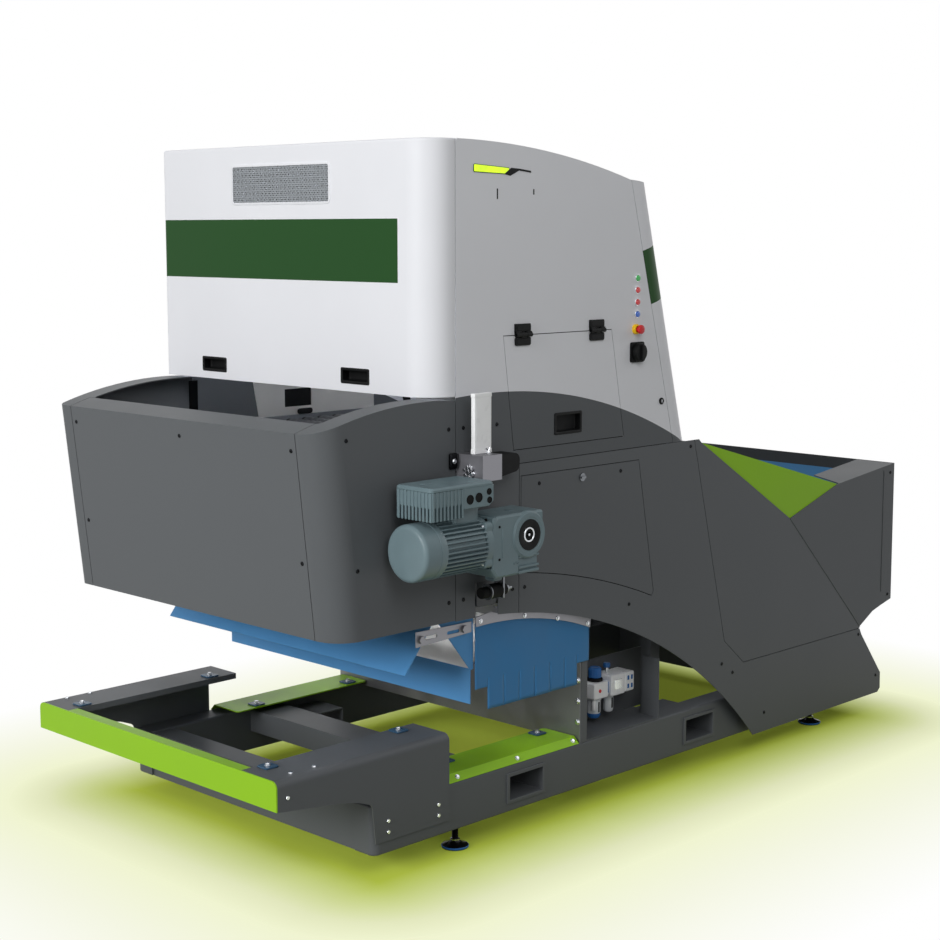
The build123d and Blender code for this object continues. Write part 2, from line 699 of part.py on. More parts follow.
# Posts: middle along the machine, depth, outer face, foot and top
posts = (
    (post_mid, post_depth, post_outer, beam_top + sheet, post_top),
    (post_rear_x, post_rear_depth, post_rear_outer, beam_top, post_rear_top),
    (post_tail_x, post_tail_depth, beam_outer, beam_top, post_tail_top),
)
ties = ((post_mid, post_depth, tie_front_top), (post_rear_x, post_rear_depth, tie_rear_top))
with BuildPart(machine) as inner_frame:
    for x, depth, outer, foot, top in posts:
        with Locations((x, -(outer + beam_inner) / 2, (foot + top) / 2)):
            Box(depth, outer - beam_inner, top - foot)
            Box(depth - 2 * post_wall, outer - beam_inner - 2 * post_wall, top - foot, mode=Mode.SUBTRACT)
    with Locations((post_mid, -(strap_inner + post_outer) / 2, belt_line)):
        Box(post_depth, strap_inner - post_outer, strap_width)
    with Locations((post_rear_x, -(panel_inner + post_rear_outer) / 2, post_rear_bracket_z)):
        Box(post_rear_depth, panel_inner - post_rear_outer, strap_width)
    with Locations((post_tail_x, -(panel_inner + beam_outer) / 2, post_tail_bracket_z)):
        Box(post_tail_depth, panel_inner - beam_outer, strap_width)
    with Locations((cheek_bracket_x, -(panel_inner + cheek_outer) / 2, cheek_bracket_z)):
        Box(cheek_bracket, panel_inner - cheek_outer, cheek_bracket)
    mirror(about=centre_plane)
    for x, depth, top in ties:
        with Locations((x, 0, top - tie_height / 2)):
            Box(depth, 2 * beam_inner, tie_height)
            Box(depth - 2 * post_wall, 2 * beam_inner, tie_height - 2 * post_wall, mode=Mode.SUBTRACT)
    with BuildSketch(along(panel_inner)):
        with Locations((finger_bar_x, finger_bar_z)):
            Circle(finger_bar_radius)
        with Locations((camera_beam_x, camera_beam_z)):
            Rectangle(camera_beam_size, camera_beam_size)
    extrude(amount=2 * panel_inner)
    with BuildSketch(along(cheek_inner)):
        with Locations((flap_axis_x, flap_axis_z)):
            Circle(flap_rod)
    extrude(amount=2 * cheek_inner)
    for side in (-1, 1):
        with BuildSketch(along(side * (roller_half + rail_thick / 2))):
            Polygon(
                (0, roller_line + rail_above), (knee_x, roller_line + rail_above), on_line(0, rail_above),
                on_line(incline - rail_tail_gap, rail_above), on_line(incline - rail_tail_gap, -rail_below),
                (post_rear_x + post_rear_depth / 2, rail_under(post_rear_x + post_rear_depth / 2)),
                (post_rear_x + post_rear_depth / 2, tie_rear_top),
                (post_rear_x - post_rear_depth / 2, tie_rear_top),
                (post_rear_x - post_rear_depth / 2, rail_under(post_rear_x - post_rear_depth / 2)),
                (post_back, rail_under(post_back)), (post_back, tie_front_top), (post_front, tie_front_top),
                (post_front, roller_line - rail_below), (0, roller_line - rail_below),
            )
        extrude(amount=rail_thick / 2, both=True)
save(inner_frame, "inner_frame")

with BuildPart() as seam_straps:
    strap_half = strap_width / 2
    tub_strap_top = rim_z(hood_seam_x) - strap_half
    with BuildSketch(along(-strap_inner)):
        Polygon((hood_seam_x - strap_half, tub_strap_low), (hood_seam_x - strap_half, tub_strap_top),
                (hood_seam_x + strap_half, tub_strap_top), (hood_seam_x + strap_half, tub_strap_low))
        Polygon((hood_seam_x + strap_half, belt_line - strap_half),
                (hood_seam_x + strap_half, belt_line + strap_half),
                (rear_seam_low[0] - strap_width, belt_line + strap_half),
                (rear_seam_low[0] - strap_width, belt_line - strap_half))
        Polygon((drive_seam_x - strap_half, drive_strap_low), (drive_seam_x + strap_half, drive_strap_low),
                (drive_seam_x + strap_half, belt_line), (drive_seam_x - strap_half, belt_line))
        Polygon((access_outline[0][0], access_outline[0][1] - access_lap),
                (access_outline[1][0], access_outline[1][1] - access_lap),
                (access_outline[1][0], belt_line), (access_outline[0][0], belt_line))
    extrude(amount=strap_thick)
    with BuildSketch(along(-strap_inner)):
        with BuildLine():
            Polyline(*hopper_seam)
        trace(line_width=strap_width)
        with BuildLine():
            Polyline((rear_seam_x(post_top) - strap_half / 2, post_top),
                     (rear_seam_x(rear_strap_top) - strap_half / 2, rear_strap_top))
        trace(line_width=strap_width)
    extrude(amount=strap_thick)
    mirror(about=centre_plane)
    strap_face = [(tub_x(z) + sheet, z) for z in (tub_strap_low, tub_strap_high)]
    for strap_near in (tub_corner - half_width, tub_seam_far - strap_half):
        with BuildSketch(along(strap_near)):
            Polygon(*strap_face, *[(x + strap_thick, z) for x, z in strap_face[::-1]])
        extrude(amount=-strap_width)
save(seam_straps, "seam_straps")

# Zones of the side outline, drawn once and used by several sheets
arch_left = tub_low_x
with BuildSketch() as under_arch:
    with BuildLine():
        ThreePointArc(*arch)
        Polyline(arch[2], (arch[2][0], 0), (arch_left, 0), (arch_left, arch[0][1]), arch[0])
    make_face()

roof_middle = (hood_seam_x + rear_face_low[0]) / 2
with BuildSketch() as under_roof:
    with BuildLine():
        ThreePointArc((hood_seam_x, hood_top - sheet), (roof_middle, roof_z(roof_middle, sheet)),
                      (rear_face_low[0], roof_z(rear_face_low[0], sheet)))
        Polyline((rear_face_low[0], roof_z(rear_face_low[0], sheet)), (rear_face_low[0], 0), (hood_seam_x, 0),
                 (hood_seam_x, hood_top - sheet))
    make_face()

# Tub: a leaning box with rounded front corners and a flat rim turned inwards, in an end panel and two sides
cover_edge = hood_seam_x - seam_gap / 2


def tub_block(inset, low, drop):
    """Solid set in from the outer face of the walls, from a low plane to that much below the rim arc."""
    rear_x = cover_edge + 5 * inset
    side_y = half_width - inset
    with BuildPart() as block:
        for z in (low, rim_peak_z + sheet):
            with BuildSketch(level(z)) as plan:
                front_x = tub_x(z) + inset
                Polygon((front_x, -side_y), (rear_x, -side_y), (rear_x, side_y), (front_x, side_y))
                fillet(corner(plan, front_x, -side_y), tub_corner - inset)
                fillet(corner(plan, front_x, side_y), far_corner - inset)
        loft(ruled=True)
        with BuildSketch(along(half_width + sheet)):
            with Locations((rim_peak_x, rim_peak_z - rim_radius - drop)):
                Circle(rim_radius)
        extrude(amount=2 * (half_width + sheet), mode=Mode.INTERSECT)
    return block.part


mouth_front = tub_x(rim_peak_z) + rim_flange
mouth_half = half_width - rim_flange
with BuildPart() as tub:
    add(tub_block(0.0, tub_low_z, 0.0))
    add(tub_block(sheet, tub_low_z - sheet, sheet), mode=Mode.SUBTRACT)
    with BuildSketch(level(tub_low_z)) as mouth:
        Polygon((mouth_front, -mouth_half), (hood_seam_x, -mouth_half), (hood_seam_x, mouth_half),
                (mouth_front, mouth_half))
        fillet(mouth.vertices().group_by(Axis.X)[0], mouth_corner)
    extrude(amount=hood_top - tub_low_z, mode=Mode.SUBTRACT)

tub_screw_tilt = (-1, 0, -tub_lean)
tub_far_x = tub_x(rim_peak_z) - tub_corner
with BuildPart() as tub_end:
    add(tub.part)
    with BuildSketch(level(tub_low_z)):
        Polygon((tub_far_x, seam_gap / 2 - tub_seam_near), (mouth_front, seam_gap / 2 - tub_seam_near),
                (mouth_front, tub_seam_far - seam_gap / 2), (tub_far_x, tub_seam_far - seam_gap / 2))
    extrude(amount=hood_top - tub_low_z, mode=Mode.INTERSECT)
save(tub_end, "tub_end")

with BuildPart() as tub_sides:
    add(tub.part)
    mouth_edge = mouth_front + seam_gap
    with BuildSketch(level(tub_low_z)):
        Polygon((tub_far_x, -tub_seam_near - seam_gap / 2), (mouth_edge, -tub_seam_near - seam_gap / 2),
                (mouth_edge, tub_seam_far + seam_gap / 2), (tub_far_x, tub_seam_far + seam_gap / 2))
    extrude(amount=hood_top - tub_low_z, mode=Mode.SUBTRACT)
save(tub_sides, "tub_sides")

# Hood: front cover with vent and grips, roof, sides and rear cover
grip_places = [(y, grip_z) for y in grip_ys]
with BuildPart(machine) as hood_front:
    with BuildSketch(level(hood_bottom)) as front_plan:
        Polygon((hood_front_x, -half_width), (cover_edge, -half_width), (cover_edge, half_width),
                (hood_front_x, half_width))
        fillet(corner(front_plan, hood_front_x, -half_width), hood_corner)
        fillet(corner(front_plan, hood_front_x, half_width), far_corner)
    extrude(amount=hood_top - hood_bottom)
    fillet(hood_front.faces().sort_by(Axis.Z)[-1].edges().sort_by(Axis.X)[:-1], 2 * sheet)
    with BuildSketch(level(hood_bottom)) as front_inside:
        Polygon((hood_front_x + sheet, -panel_inner), (cover_edge, -panel_inner), (cover_edge, panel_inner),
                (hood_front_x + sheet, panel_inner))
        fillet(corner(front_inside, hood_front_x + sheet, -panel_inner), hood_corner - sheet)
        fillet(corner(front_inside, hood_front_x + sheet, panel_inner), far_corner - sheet)
    extrude(amount=hood_top - hood_bottom - sheet, mode=Mode.SUBTRACT)
    with Locations((hood_seam_x, 0, hood_top)):
        Box(2 * hinge_knuckle, 2 * half_width - 4 * sheet, 4 * sheet, mode=Mode.SUBTRACT)
    with BuildSketch(across(hood_front_x)) as grip_cups:
        with Locations(*grip_places):
            Rectangle(grip_width + 2 * sheet, grip_height + 2 * sheet)
        fillet(grip_cups.vertices(), 3 * sheet)
    extrude(amount=grip_depth + sheet)
    with BuildSketch(across(hood_front_x)) as grip_holes:
        with Locations(*grip_places):
            Rectangle(grip_width, grip_height)
        fillet(grip_holes.vertices(), 2 * sheet)
    extrude(amount=grip_depth, mode=Mode.SUBTRACT)
    with BuildSketch(across(hood_front_x)):
        with Locations((vent_y, vent_z)):
            with GridLocations(vent_width / vent_columns, vent_height / vent_rows, vent_columns, vent_rows):
                Rectangle(vent_hole, vent_hole)
    extrude(amount=sheet, mode=Mode.SUBTRACT)
    knuckle_places = [(hood_seam_x, y, hinge_z) for y in knuckle_ys]
    with Locations(*knuckle_places):
        Cylinder(hinge_knuckle, strap_width, rotation=(90, 0, 0))
    with Locations(*[(x - hinge_knuckle, y, hood_top - sheet / 2) for x, y, z in knuckle_places]):
        Box(2 * hinge_knuckle, strap_width, sheet)
    with Locations(*knuckle_places):
        Cylinder(hinge_rod_radius + running_clearance, 2 * strap_width, rotation=(90, 0, 0),
                 mode=Mode.SUBTRACT)
save(hood_front, "hood_front")

roof_front = hood_seam_x + hinge_knuckle + 1
roof_mid = (roof_front + rear_seam_top[0]) / 2
with BuildPart() as hood_roof:
    with BuildSketch(along(half_width)):
        with BuildLine():
            ThreePointArc((roof_front, roof_z(roof_front)), (roof_mid, roof_z(roof_mid)),
                          (rear_seam_top[0] - seam_gap, roof_z(rear_seam_top[0] - seam_gap)))
            Line((rear_seam_top[0] - seam_gap, roof_z(rear_seam_top[0] - seam_gap)),
                 (rear_seam_top[0] - seam_gap, roof_z(rear_seam_top[0] - seam_gap, sheet)))
            ThreePointArc((rear_seam_top[0] - seam_gap, roof_z(rear_seam_top[0] - seam_gap, sheet)),
                          (roof_mid, roof_z(roof_mid, sheet)), (roof_front, roof_z(roof_front, sheet)))
            Line((roof_front, roof_z(roof_front, sheet)), (roof_front, roof_z(roof_front)))
        make_face()
    extrude(amount=2 * half_width)
save(hood_roof, "hood_roof")

side_front = hood_seam_x + seam_gap / 2
side_low = belt_line + seam_gap / 2
with BuildPart() as hood_sides:
    with BuildSketch(along(-panel_inner)):
        Polygon((side_front, side_low), (side_front, hood_top), (rear_seam_x(hood_top) - seam_gap, hood_top),
                (rear_seam_x(side_low) - seam_gap, side_low))
        add(under_roof.sketch, mode=Mode.INTERSECT)
    extrude(amount=sheet)
    mirror(about=centre_plane)
    with BuildSketch(along(-half_width)):
        Polygon(*door_outline)
    extrude(amount=-2 * sheet, mode=Mode.SUBTRACT)
save(hood_sides, "hood_sides")

def rear_block(half, near_radius, far_radius, *outline):
    """Prism across the machine with the two upright edges of its rear face rounded."""
    with BuildPart() as block:
        with BuildSketch(along(half)):
            Polygon(*outline)
            if half < half_width:
                offset(amount=half - half_width, kind=Kind.INTERSECTION, mode=Mode.REPLACE)
        extrude(amount=2 * half)
        for end, radius in ((0, near_radius), (-1, far_radius)):
            rear_face = block.faces().filter_by(GeomType.PLANE).sort_by(lambda face: face.normal_at().X)[-1]
            fillet(rear_face.edges().filter_by(Axis.Y, reverse=True).sort_by(Axis.Y)[end], radius)
    return block.part


top_slope = (rear_face_top[1] - rear_seam_top[1]) / (rear_face_top[0] - rear_seam_top[0])
rear_slope = (rear_face_low[0] - rear_face_top[0]) / (rear_face_low[1] - rear_face_top[1])
with BuildPart() as hood_rear:
    add(rear_block(half_width, rear_corner, far_corner,
                   rear_seam_top, rear_face_top, rear_face_low, rear_seam_low))
    add(rear_block(
        panel_inner, rear_corner - sheet, far_corner - sheet,
        (rear_seam_top[0] - rear_open, rear_seam_top[1] - rear_open * top_slope), rear_face_top,
        (rear_face_low[0] - rear_open * rear_slope, rear_face_low[1] - rear_open),
        (rear_seam_low[0] - rear_open, rear_seam_low[1] - rear_open),
    ), mode=Mode.SUBTRACT)
save(hood_rear, "hood_rear")

# Side door with its recessed grip, hung on two hinges along its top edge
with BuildPart(machine) as side_door:
    with BuildSketch(along(-panel_inner)):
        Polygon(*door_outline)
        offset(amount=-door_gap, kind=Kind.INTERSECTION, mode=Mode.REPLACE)
    extrude(amount=sheet)
    with BuildSketch(along(-half_width)) as door_cup:
        with Locations(door_grip):
            Rectangle(door_grip_width + 2 * sheet, door_grip_height + 2 * sheet)
        fillet(door_cup.vertices(), 3 * sheet)
    extrude(amount=-door_grip_depth - sheet)
    with BuildSketch(along(-half_width)) as door_recess:
        with Locations(door_grip):
            Rectangle(door_grip_width, door_grip_height)
        fillet(door_recess.vertices(), 2 * sheet)
    extrude(amount=-door_grip_depth, mode=Mode.SUBTRACT)
save(side_door, "side_door")

knuckle_length = leaf_width / 3
leaf_clear = knuckle_radius + 2
leaf_y = -half_width - leaf_thick / 2
neck_depth = door_axis_y - half_width
with BuildPart(machine) as door_hinges:
    for x in door_hinge_xs:
        with Locations((x, leaf_y, door_axis_z - leaf_clear - leaf_height / 2)):
            Box(leaf_width, leaf_thick, leaf_height)
        with Locations((x, -half_width - neck_depth / 2, door_axis_z - leaf_clear / 2)):
            Box(knuckle_length - 1, neck_depth, leaf_clear)
        with Locations((x, -half_width - sheet / 2, door_axis_z)):
            Box(leaf_width, sheet, 2 * door_gap, mode=Mode.SUBTRACT)
        with Locations((x, -door_axis_y, door_axis_z)):
            Cylinder(knuckle_radius, knuckle_length - 1, rotation=(0, 90, 0))
            Cylinder(pin_radius + running_clearance, leaf_width, rotation=(0, 90, 0), mode=Mode.SUBTRACT)
save(door_hinges, "door_hinges")

with BuildPart(machine) as frame_hinges:
    for x in door_hinge_xs:
        with Locations((x, leaf_y, door_axis_z + leaf_clear + leaf_height / 2)):
            Box(leaf_width, leaf_thick, leaf_height)
        for end in (-1, 1):
            knuckle_x = x + end * knuckle_length
            with Locations((knuckle_x, -half_width - neck_depth / 2, door_axis_z + leaf_clear / 2)):
                Box(knuckle_length - 1, neck_depth, leaf_clear)
            with Locations((knuckle_x, -door_axis_y, door_axis_z)):
                Cylinder(knuckle_radius, knuckle_length - 1, rotation=(0, 90, 0))
        with Locations((x, -door_axis_y, door_axis_z)):
            Cylinder(pin_radius, leaf_width, rotation=(0, 90, 0))
    with Locations((hood_seam_x, 0, hinge_z)):
        Cylinder(hinge_rod_radius, hinge_rod_length, rotation=(90, 0, 0))
    lug_top = roof_z(hood_seam_x + lug_reach, sheet)
    with Locations(*[(hood_seam_x + lug_reach / 2, y, lug_top - sheet) for y in lug_ys]):
        Box(lug_reach, strap_width, 2 * sheet)
save(frame_hinges, "frame_hinges")

# Lower casing: drive panels, arched side panels, access panel and rear panel
drive_top = belt_line - seam_gap / 2
drive_right = drive_seam_x - seam_gap / 2
with BuildPart() as drive_panels:
    with BuildSketch(along(-panel_inner)):
        Polygon((side_front, arch[1][1]), (side_front, drive_top), (drive_right, drive_top),
                (drive_right, arch[1][1]))
        add(under_arch.sketch, mode=Mode.SUBTRACT)
    extrude(amount=sheet)
    mirror(about=centre_plane)
    with BuildSketch(along(-half_width)):
        with Locations((drive_x, drive_z)):
            Circle(spigot_bore)
        Polygon((notch_left, arch[1][1]), (notch_right, arch[1][1]), (notch_right, notch_top),
                (notch_left, notch_top))
    extrude(amount=-2 * sheet, mode=Mode.SUBTRACT)

rear_sheet_x = skirt_outline[1][0] - 1.5 * sheet
rear_sheet_low = skirt_bottom + rear_sheet_lift
with BuildPart() as side_panels:
    with BuildSketch(along(-panel_inner)):
        Polygon(
            (drive_seam_x + seam_gap / 2, 0), (drive_seam_x + seam_gap / 2, drive_top),
            (hopper_seam[0][0] - seam_gap - belt_step, drive_top),
            *[(x - seam_gap, z) for x, z in hopper_seam[:2]],
            *[(x, z - seam_gap) for x, z in hopper_seam[2:]],
            *skirt_outline, (arch[2][0], skirt_bottom), (arch[2][0], 0),
        )
        add(under_arch.sketch, mode=Mode.SUBTRACT)
        with Locations((arch[2][0], skirt_bottom)):
            Rectangle(2 * skirt_bottom, skirt_bottom, align=(Align.CENTER, Align.MAX), mode=Mode.SUBTRACT)
    extrude(amount=sheet)
    mirror(about=centre_plane)
    with BuildSketch(along(-half_width)):
        with BuildLine():
            Polyline(access_curve[2], *access_outline)
            ThreePointArc(*access_curve)
        make_face()
    extrude(amount=-2 * sheet, mode=Mode.SUBTRACT)
    with BuildSketch(along(panel_inner - bolt_clearance)):
        with BuildLine():
            Polyline((skirt_outline[0][0], skirt_outline[0][1] - 2 * sheet),
                     (rear_sheet_x, skirt_outline[1][1]), (rear_sheet_x, rear_sheet_low),
                     (rear_sheet_x - sheet, rear_sheet_low),
                     (rear_sheet_x - sheet, skirt_outline[1][1] - sheet / 2),
                     (skirt_outline[0][0] - sheet, skirt_outline[0][1] - 2.5 * sheet), close=True)
        make_face()
    extrude(amount=2 * (panel_inner - bolt_clearance))

with BuildPart() as access_panel:
    with BuildSketch(along(-panel_inner)):
        with BuildLine():
            Polyline(access_curve[2], *access_outline)
            ThreePointArc(*access_curve)
        make_face()
        offset(amount=-seam_gap, kind=Kind.INTERSECTION, mode=Mode.REPLACE)
        with Locations((latch_x, latch_z)):
            Circle(latch_radius / 2 + running_clearance, mode=Mode.SUBTRACT)
    extrude(amount=sheet)

with BuildPart() as lower_panels:
    add(drive_panels.part)
    add(side_panels.part)
    add(access_panel.part)
save(lower_panels, "lower_panels")

with BuildPart(machine) as access_latch:
    with Locations((latch_x, -half_width - bolt_clearance, latch_z)):
        Cylinder(latch_radius, latch_plate, rotation=(90, 0, 0), align=upward)
    with Locations((latch_x, -half_width - bolt_clearance - 1.5 * latch_plate, latch_z)):
        Box(1.6 * latch_radius, 2 * latch_plate, latch_radius / 2)
    with Locations((latch_x, -panel_inner + sheet, latch_z)):
        Cylinder(latch_radius / 2, 3 * sheet, rotation=(90, 0, 0))
    with Locations((latch_x, -panel_inner + 2 * sheet, latch_z + latch_radius / 2)):
        Box(latch_radius, sheet, 2.4 * latch_radius)
save(access_latch, "access_latch")

# Hopper: flat sides, flared wings, leaning end wall, gussets and blue liner
fold_start = at(fold_high[0], -half_width, fold_high[1])
fold_end = at(fold_low[0], -half_width, fold_low[1])
wing_tip = at(wing_top_x, -wing_reach, wing_top_z)
wing_plane = Plane(origin=fold_start, x_dir=fold_end - fold_start,
                   z_dir=(fold_end - fold_start).cross(wing_tip - fold_start))
wing_slope = wing_plane.z_dir


def on_wing(x, z):
    """Point of the flared sheet's outer face at x and z."""
    step_x = x - fold_high[0]
    step_z = z - fold_high[1]
    return at(x, -half_width - (wing_slope.X * step_x + wing_slope.Z * step_z) / wing_slope.Y, z)


with BuildPart() as hopper_sides:
    with BuildSketch(along(-panel_inner)):
        Polygon(
            (hopper_seam[0][0] - belt_step, drive_top), (hopper_tip[0] - tip_step, drive_top), hopper_tip,
            fold_high, fold_low, *hopper_seam[::-1],
        )
    extrude(amount=sheet)
    wing_points = [fold_high, wing_high, (wing_top_x, wing_top_z), (hopper_tail, wing_low_z), *wing_notch,
                   fold_low]
    with BuildSketch(wing_plane):
        Polygon(*[wing_plane.to_local_coords(on_wing(x, z)) for x, z in wing_points])
    extrude(amount=-sheet)
    wing_rise = (wing_top_z - wing_high[1]) / (wing_top_x - wing_high[0])
    flange_front = on_wing(wing_high[0] + wing_flange_start, wing_high[1] + wing_flange_start * wing_rise)
    flange_rear = on_wing(wing_top_x - 2 * sheet, wing_top_z - 2 * sheet * wing_rise)
    flange_inner = flange_rear + Vector(0, wing_flange, 0)
    flange_corner = flange_inner + (flange_front - flange_rear) * (1 - wing_flange_cut)
    flange_plane = Plane(origin=flange_front, x_dir=flange_rear - flange_front,
                         z_dir=(flange_rear - flange_front).cross(Vector(0, 1, 0)))
    with BuildSketch(flange_plane):
        flange_points = (flange_front, flange_rear, flange_inner, flange_corner)
        Polygon(*[flange_plane.to_local_coords(point) for point in flange_points])
    extrude(amount=-sheet)
    mirror(about=centre_plane)
save(hopper_sides, "hopper_sides")

wall_up = at(wing_top_x, 0, wing_top_z) - at(hopper_tail, 0, wing_low_z)
wall_out = Vector(wall_up.Z, 0, -wall_up.X).normalized()
wall_plane = Plane(origin=at(hopper_tail, 0, wing_low_z), x_dir=(0, 1, 0), z_dir=wall_out)
low_half = abs(on_wing(hopper_tail, wing_low_z).Y + origin_y) - 1.2 * sheet
high_half = abs(on_wing(wing_top_x, wing_top_z).Y + origin_y) - 1.2 * sheet
with BuildPart() as hopper_end:
    with BuildSketch(wall_plane):
        Polygon((-low_half, 0), (low_half, 0), (high_half, wall_up.length), (-high_half, wall_up.length))
    extrude(amount=-sheet)
save(hopper_end, "hopper_end")

with BuildPart() as gussets:
    tip = at(hopper_tip[0], 0.2 - panel_inner, hopper_tip[1])
    low = at(fold_high[0], 0.2 - panel_inner, fold_high[1])
    high = on_wing(*wing_high) - wing_slope * (sheet + 0.2)
    gusset_plane = Plane(origin=tip, x_dir=low - tip, z_dir=(low - tip).cross(high - tip))
    with BuildSketch(gusset_plane):
        Polygon(*[gusset_plane.to_local_coords(point) for point in (tip, low, high)])
    extrude(amount=-sheet)
    mirror(about=centre_plane)
save(gussets, "gussets")

wall_inner = sheet / wall_out.X
with BuildPart() as hopper_liner:
    with BuildSketch(along(liner_half)):
        Polygon(
            (end_wall_x(liner_top_z) - wall_inner, liner_top_z),
            (end_wall_x(liner_top_z - 4 * liner_thick) - wall_inner, liner_top_z - 4 * liner_thick),
            (liner_low[0], liner_low[1] - 2 * liner_thick), liner_low,
        )
    extrude(amount=2 * liner_half)
save(hopper_liner, "hopper_liner")

# Status light, black fittings and operating elements on the near hood side
with BuildPart() as light_strip:
    with BuildSketch(along(-half_width)) as light_shape:
        Polygon(*strip_outline)
        fillet(light_shape.vertices().group_by(Axis.X)[0], strip_round)
    extrude(amount=strip_thick)
save(light_strip, "light_strip")

with BuildPart(machine) as black_fittings:
    with BuildSketch(along(-half_width)):
        Polygon(*wedge_outline)
    extrude(amount=strip_thick / 2)
    with BuildSketch(along(-half_width)):
        with Locations((switch_x, switch_z)):
            RectangleRounded(switch_plate, switch_plate, switch_plate_round)
    extrude(amount=switch_plate_thick)
    with BuildSketch(along(-half_width - switch_plate_thick)):
        with Locations((switch_x, switch_z)):
            Circle(stop_stem + running_clearance)
    extrude(amount=-switch_plate_thick, mode=Mode.SUBTRACT)
    with BuildSketch(along(-half_width)) as guard_shape:
        Polygon((bracket_right, guard_low), (guard_right, guard_low + guard_rise), (guard_right, guard_high),
                (bracket_right, guard_high))
        fillet(guard_shape.vertices().group_by(Axis.X)[-1], guard_round)
    extrude(amount=guard_depth)
save(black_fittings, "black_fittings")

button_places = [(button_x, z) for z in button_zs]
with BuildPart() as button_bezels:
    with BuildSketch(along(-half_width)):
        with Locations(*button_places):
            Circle(bezel_radius)
            Circle(cap_radius + bolt_clearance, mode=Mode.SUBTRACT)
    extrude(amount=bezel_height)
save(button_bezels, "button_bezels")

for z, word in zip(button_zs, ("start", "halt", "fault", "reset")):
    with BuildPart() as button_cap:
        with BuildSketch(along(-half_width - cap_lift)):
            with Locations((button_x, z)):
                Circle(cap_radius)
        extrude(amount=cap_height)
        fillet(button_cap.edges().sort_by(Axis.Y)[0], cap_round)
    save(button_cap, "button_" + word)

with BuildPart() as stop_collar:
    with BuildSketch(along(-half_width)):
        with Locations((stop_x, stop_z)):
            Circle(collar_radius)
            Circle(stop_stem + running_clearance, mode=Mode.SUBTRACT)
    extrude(amount=collar_height)
    fillet(stop_collar.edges().filter_by(GeomType.CIRCLE).sort_by(Axis.Y)[0], collar_round)
save(stop_collar, "stop_collar")

with BuildPart() as stop_button:
    with BuildSketch(along(-half_width - stop_lift + 1)):
        with Locations((stop_x, stop_z)):
            Circle(stop_stem)
    extrude(amount=collar_height + 1)
    with BuildSketch(along(-half_width - collar_height - stop_lift)):
        with Locations((stop_x, stop_z)):
            Circle(stop_head)
    extrude(amount=stop_head_height)
    fillet(stop_button.edges().filter_by(GeomType.CIRCLE).sort_by(Axis.Y)[0], stop_round)
save(stop_button, "stop_button")

switch_face = half_width + switch_plate_thick + bolt_clearance
with BuildPart(machine) as switch_knob:
    with BuildSketch(along(-switch_face)):
        with Locations((switch_x, switch_z)):
            Circle(switch_radius)
    extrude(amount=switch_height)
    with BuildSketch(along(-switch_face)):
        with Locations((switch_x, switch_z)):
            Rectangle(switch_grip, 2 * (switch_radius - switch_grip_inset))
    extrude(amount=switch_grip_height)
    with BuildSketch(along(-switch_face)):
        with Locations((switch_x, switch_z)):
            Circle(stop_stem)
    extrude(amount=-switch_plate_thick)
save(switch_knob, "switch_knob")

with BuildPart(machine) as cabinet_lock:
    with BuildSketch(along(-half_width - bolt_clearance)):
        with Locations((lock_x, lock_z)):
            Circle(lock_radius)
    extrude(amount=lock_proud)
    with BuildSketch(along(-half_width - bolt_clearance - lock_proud)):
        with Locations((lock_x, lock_z)):
            Rectangle(key_slot, lock_radius)
    extrude(amount=-key_depth, mode=Mode.SUBTRACT)
save(cabinet_lock, "cabinet_lock")

# Black dome screws of the casing
with BuildPart() as panel_screws:
    with BuildSketch(along(-half_width)):
        with Locations(*side_screws):
            Circle(screw_radius)
    extrude(amount=screw_height)
    for x, z in wing_screws:
        with BuildSketch(Plane(origin=on_wing(x, z), x_dir=(1, 0, 0), z_dir=wing_slope)):
            Circle(screw_radius)
        extrude(amount=screw_height)
    mirror(about=centre_plane)
    tub_screw_ys = (tub_screw_inset - tub_seam_near, tub_seam_far - tub_screw_inset)
    tub_screws = [(0.0, tub_screw_zs[1]), *[(y, z) for y in tub_screw_ys for z in tub_screw_zs]]
    for y, z in tub_screws:
        with BuildSketch(Plane(origin=at(tub_x(z), y, z), x_dir=(0, 1, 0), z_dir=tub_screw_tilt)):
            Circle(screw_radius)
        extrude(amount=screw_height)
save(panel_screws, "panel_screws")

